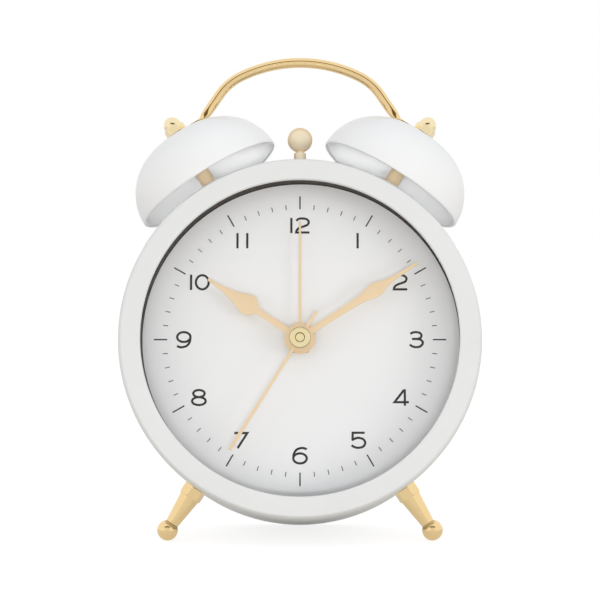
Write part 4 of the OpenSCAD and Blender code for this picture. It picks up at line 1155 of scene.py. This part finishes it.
def make_world(soft_level, shine_level):
    """White to the camera and through the lens; softer for what it lights and for reflections."""
    world = bpy.data.worlds.new("studio_white")
    world.use_nodes = True
    nodes, links = world.node_tree.nodes, world.node_tree.links
    path = add_node(nodes, "LightPath")
    seen = larger_of(nodes, links, path.outputs["Is Camera Ray"], path.outputs["Is Transmission Ray"])
    shine = add_node(nodes, "MapRange", to_min=soft_level, to_max=shine_level)
    level = add_node(nodes, "MapRange", to_max=1.0)
    links.new(seen, level.inputs["Value"])
    wire(links, (path, "Is Glossy Ray", shine, "Value"), (shine, "Result", level, "To Min"),
         (level, "Result", nodes["Background"], "Strength"))
    set_inputs(nodes["Background"], color=(1, 1, 1, 1))
    scene.world = world


def make_floor():
    """Pale table top: white to the camera where unshaded, greyer in what it throws back."""
    bm = bmesh.new()
    bmesh.ops.create_grid(bm, x_segments=1, y_segments=1, size=4)
    floor = object_from("table_top", bm)
    material, nodes, links, shader = new_finish("table_white")
    nodes.remove(shader)
    path = add_node(nodes, "LightPath")
    seen = larger_of(nodes, links, path.outputs["Is Camera Ray"], path.outputs["Is Transmission Ray"])
    matt = add_node(nodes, "BsdfDiffuse")
    tone = add_mix(nodes, (0.36, 0.36, 0.36), (0.68, 0.64, 0.58))
    glow = add_node(nodes, "Emission")
    shine = add_node(nodes, "MapRange", to_max=0.5)
    lift = add_node(nodes, "MapRange", to_max=0.8)
    total = add_node(nodes, "AddShader")
    links.new(seen, lift.inputs["Value"])
    wire(links, (path, "Is Diffuse Ray", tone, "Factor"), (path, "Is Glossy Ray", shine, "Value"),
         (shine, "Result", lift, "To Min"), (tone, "Result", matt, "Color"),
         (lift, "Result", glow, "Strength"), (matt, "BSDF", total, 0), (glow, "Emission", total, 1),
         (total, "Shader", nodes["Material Output"], "Surface"))
    floor.data.materials.append(material)


CARD_Y = -1.8


def card(name, half_w, low, high, tone):
    """Upright studio card behind the camera, seen in reflections alone."""
    corners = [(-half_w, low), (half_w, low), (half_w, high), (-half_w, high)]
    bm = bmesh.new()
    bm.faces.new([bm.verts.new((x, CARD_Y, z)) for x, z in corners])
    board = object_from(name, bm)
    material, nodes, links, shader = new_finish(name)
    nodes.remove(shader)
    glow = add_node(nodes, "Emission", color=(*tone, 1))
    wire(links, (glow, "Emission", nodes["Material Output"], "Surface"))
    board.data.materials.append(material)
    board.visible_camera = False
    board.visible_diffuse = False
    board.visible_transmission = False
    board.visible_shadow = False


def soft_box(name, place, aim, width, height, power):
    """Rectangular lamp aimed at a point, which neither the metal nor the lens mirrors."""
    data = bpy.data.lights.new(name, "AREA")
    data.shape = "RECTANGLE"
    data.size = width
    data.size_y = height
    data.energy = power
    lamp = bpy.data.objects.new(name, data)
    lamp.location = place
    lamp.rotation_euler = (Vector(aim) - Vector(place)).to_track_quat("-Z", "Y").to_euler()
    lamp.visible_glossy = False
    lamp.visible_transmission = False
    scene.collection.objects.link(lamp)
    return lamp


def make_studio():
    """Camera, white room and lamps; gives the group that the lamp under the bells is kept to."""
    make_camera()
    make_world(soft_level=0.78, shine_level=0.95)
    make_floor()
    card("dark_front", 0.9, 0.0, 1.4, (0.82, 0.80, 0.76))
    card("dark_edge", 1.4, 1.4, 2.4, (0.17, 0.12, 0.08))
    centre, bells = (0, 0, 0.08), (0, 0, 0.12)
    soft_box("front", (0, -1.3, 0.06), centre, 0.6, 0.1, 3.4)
    for side, label, power in ((-1, "left", 1.0), (1, "right", 2.5)):
        soft_box("low_" + label, (side * 1.1, -0.7, 0.12), centre, 0.5, 0.2, power)
    under_bells = bpy.data.collections.new("under_bells")
    small = soft_box("under_bells", (0, -0.7, 0.1), bells, 0.2, 0.1, 4.0)
    small.light_linking.receiver_collection = under_bells
    return under_bells


# The whole clock

under_bells = make_studio()
make_case()
make_bells(under_bells)
make_handle()
make_hammer()
make_feet()
make_hands()
make_dial_marks()
make_cover()
make_door()
make_screws()
make_knobs()
make_switch()
make_cell()
finish_kept_nodes()
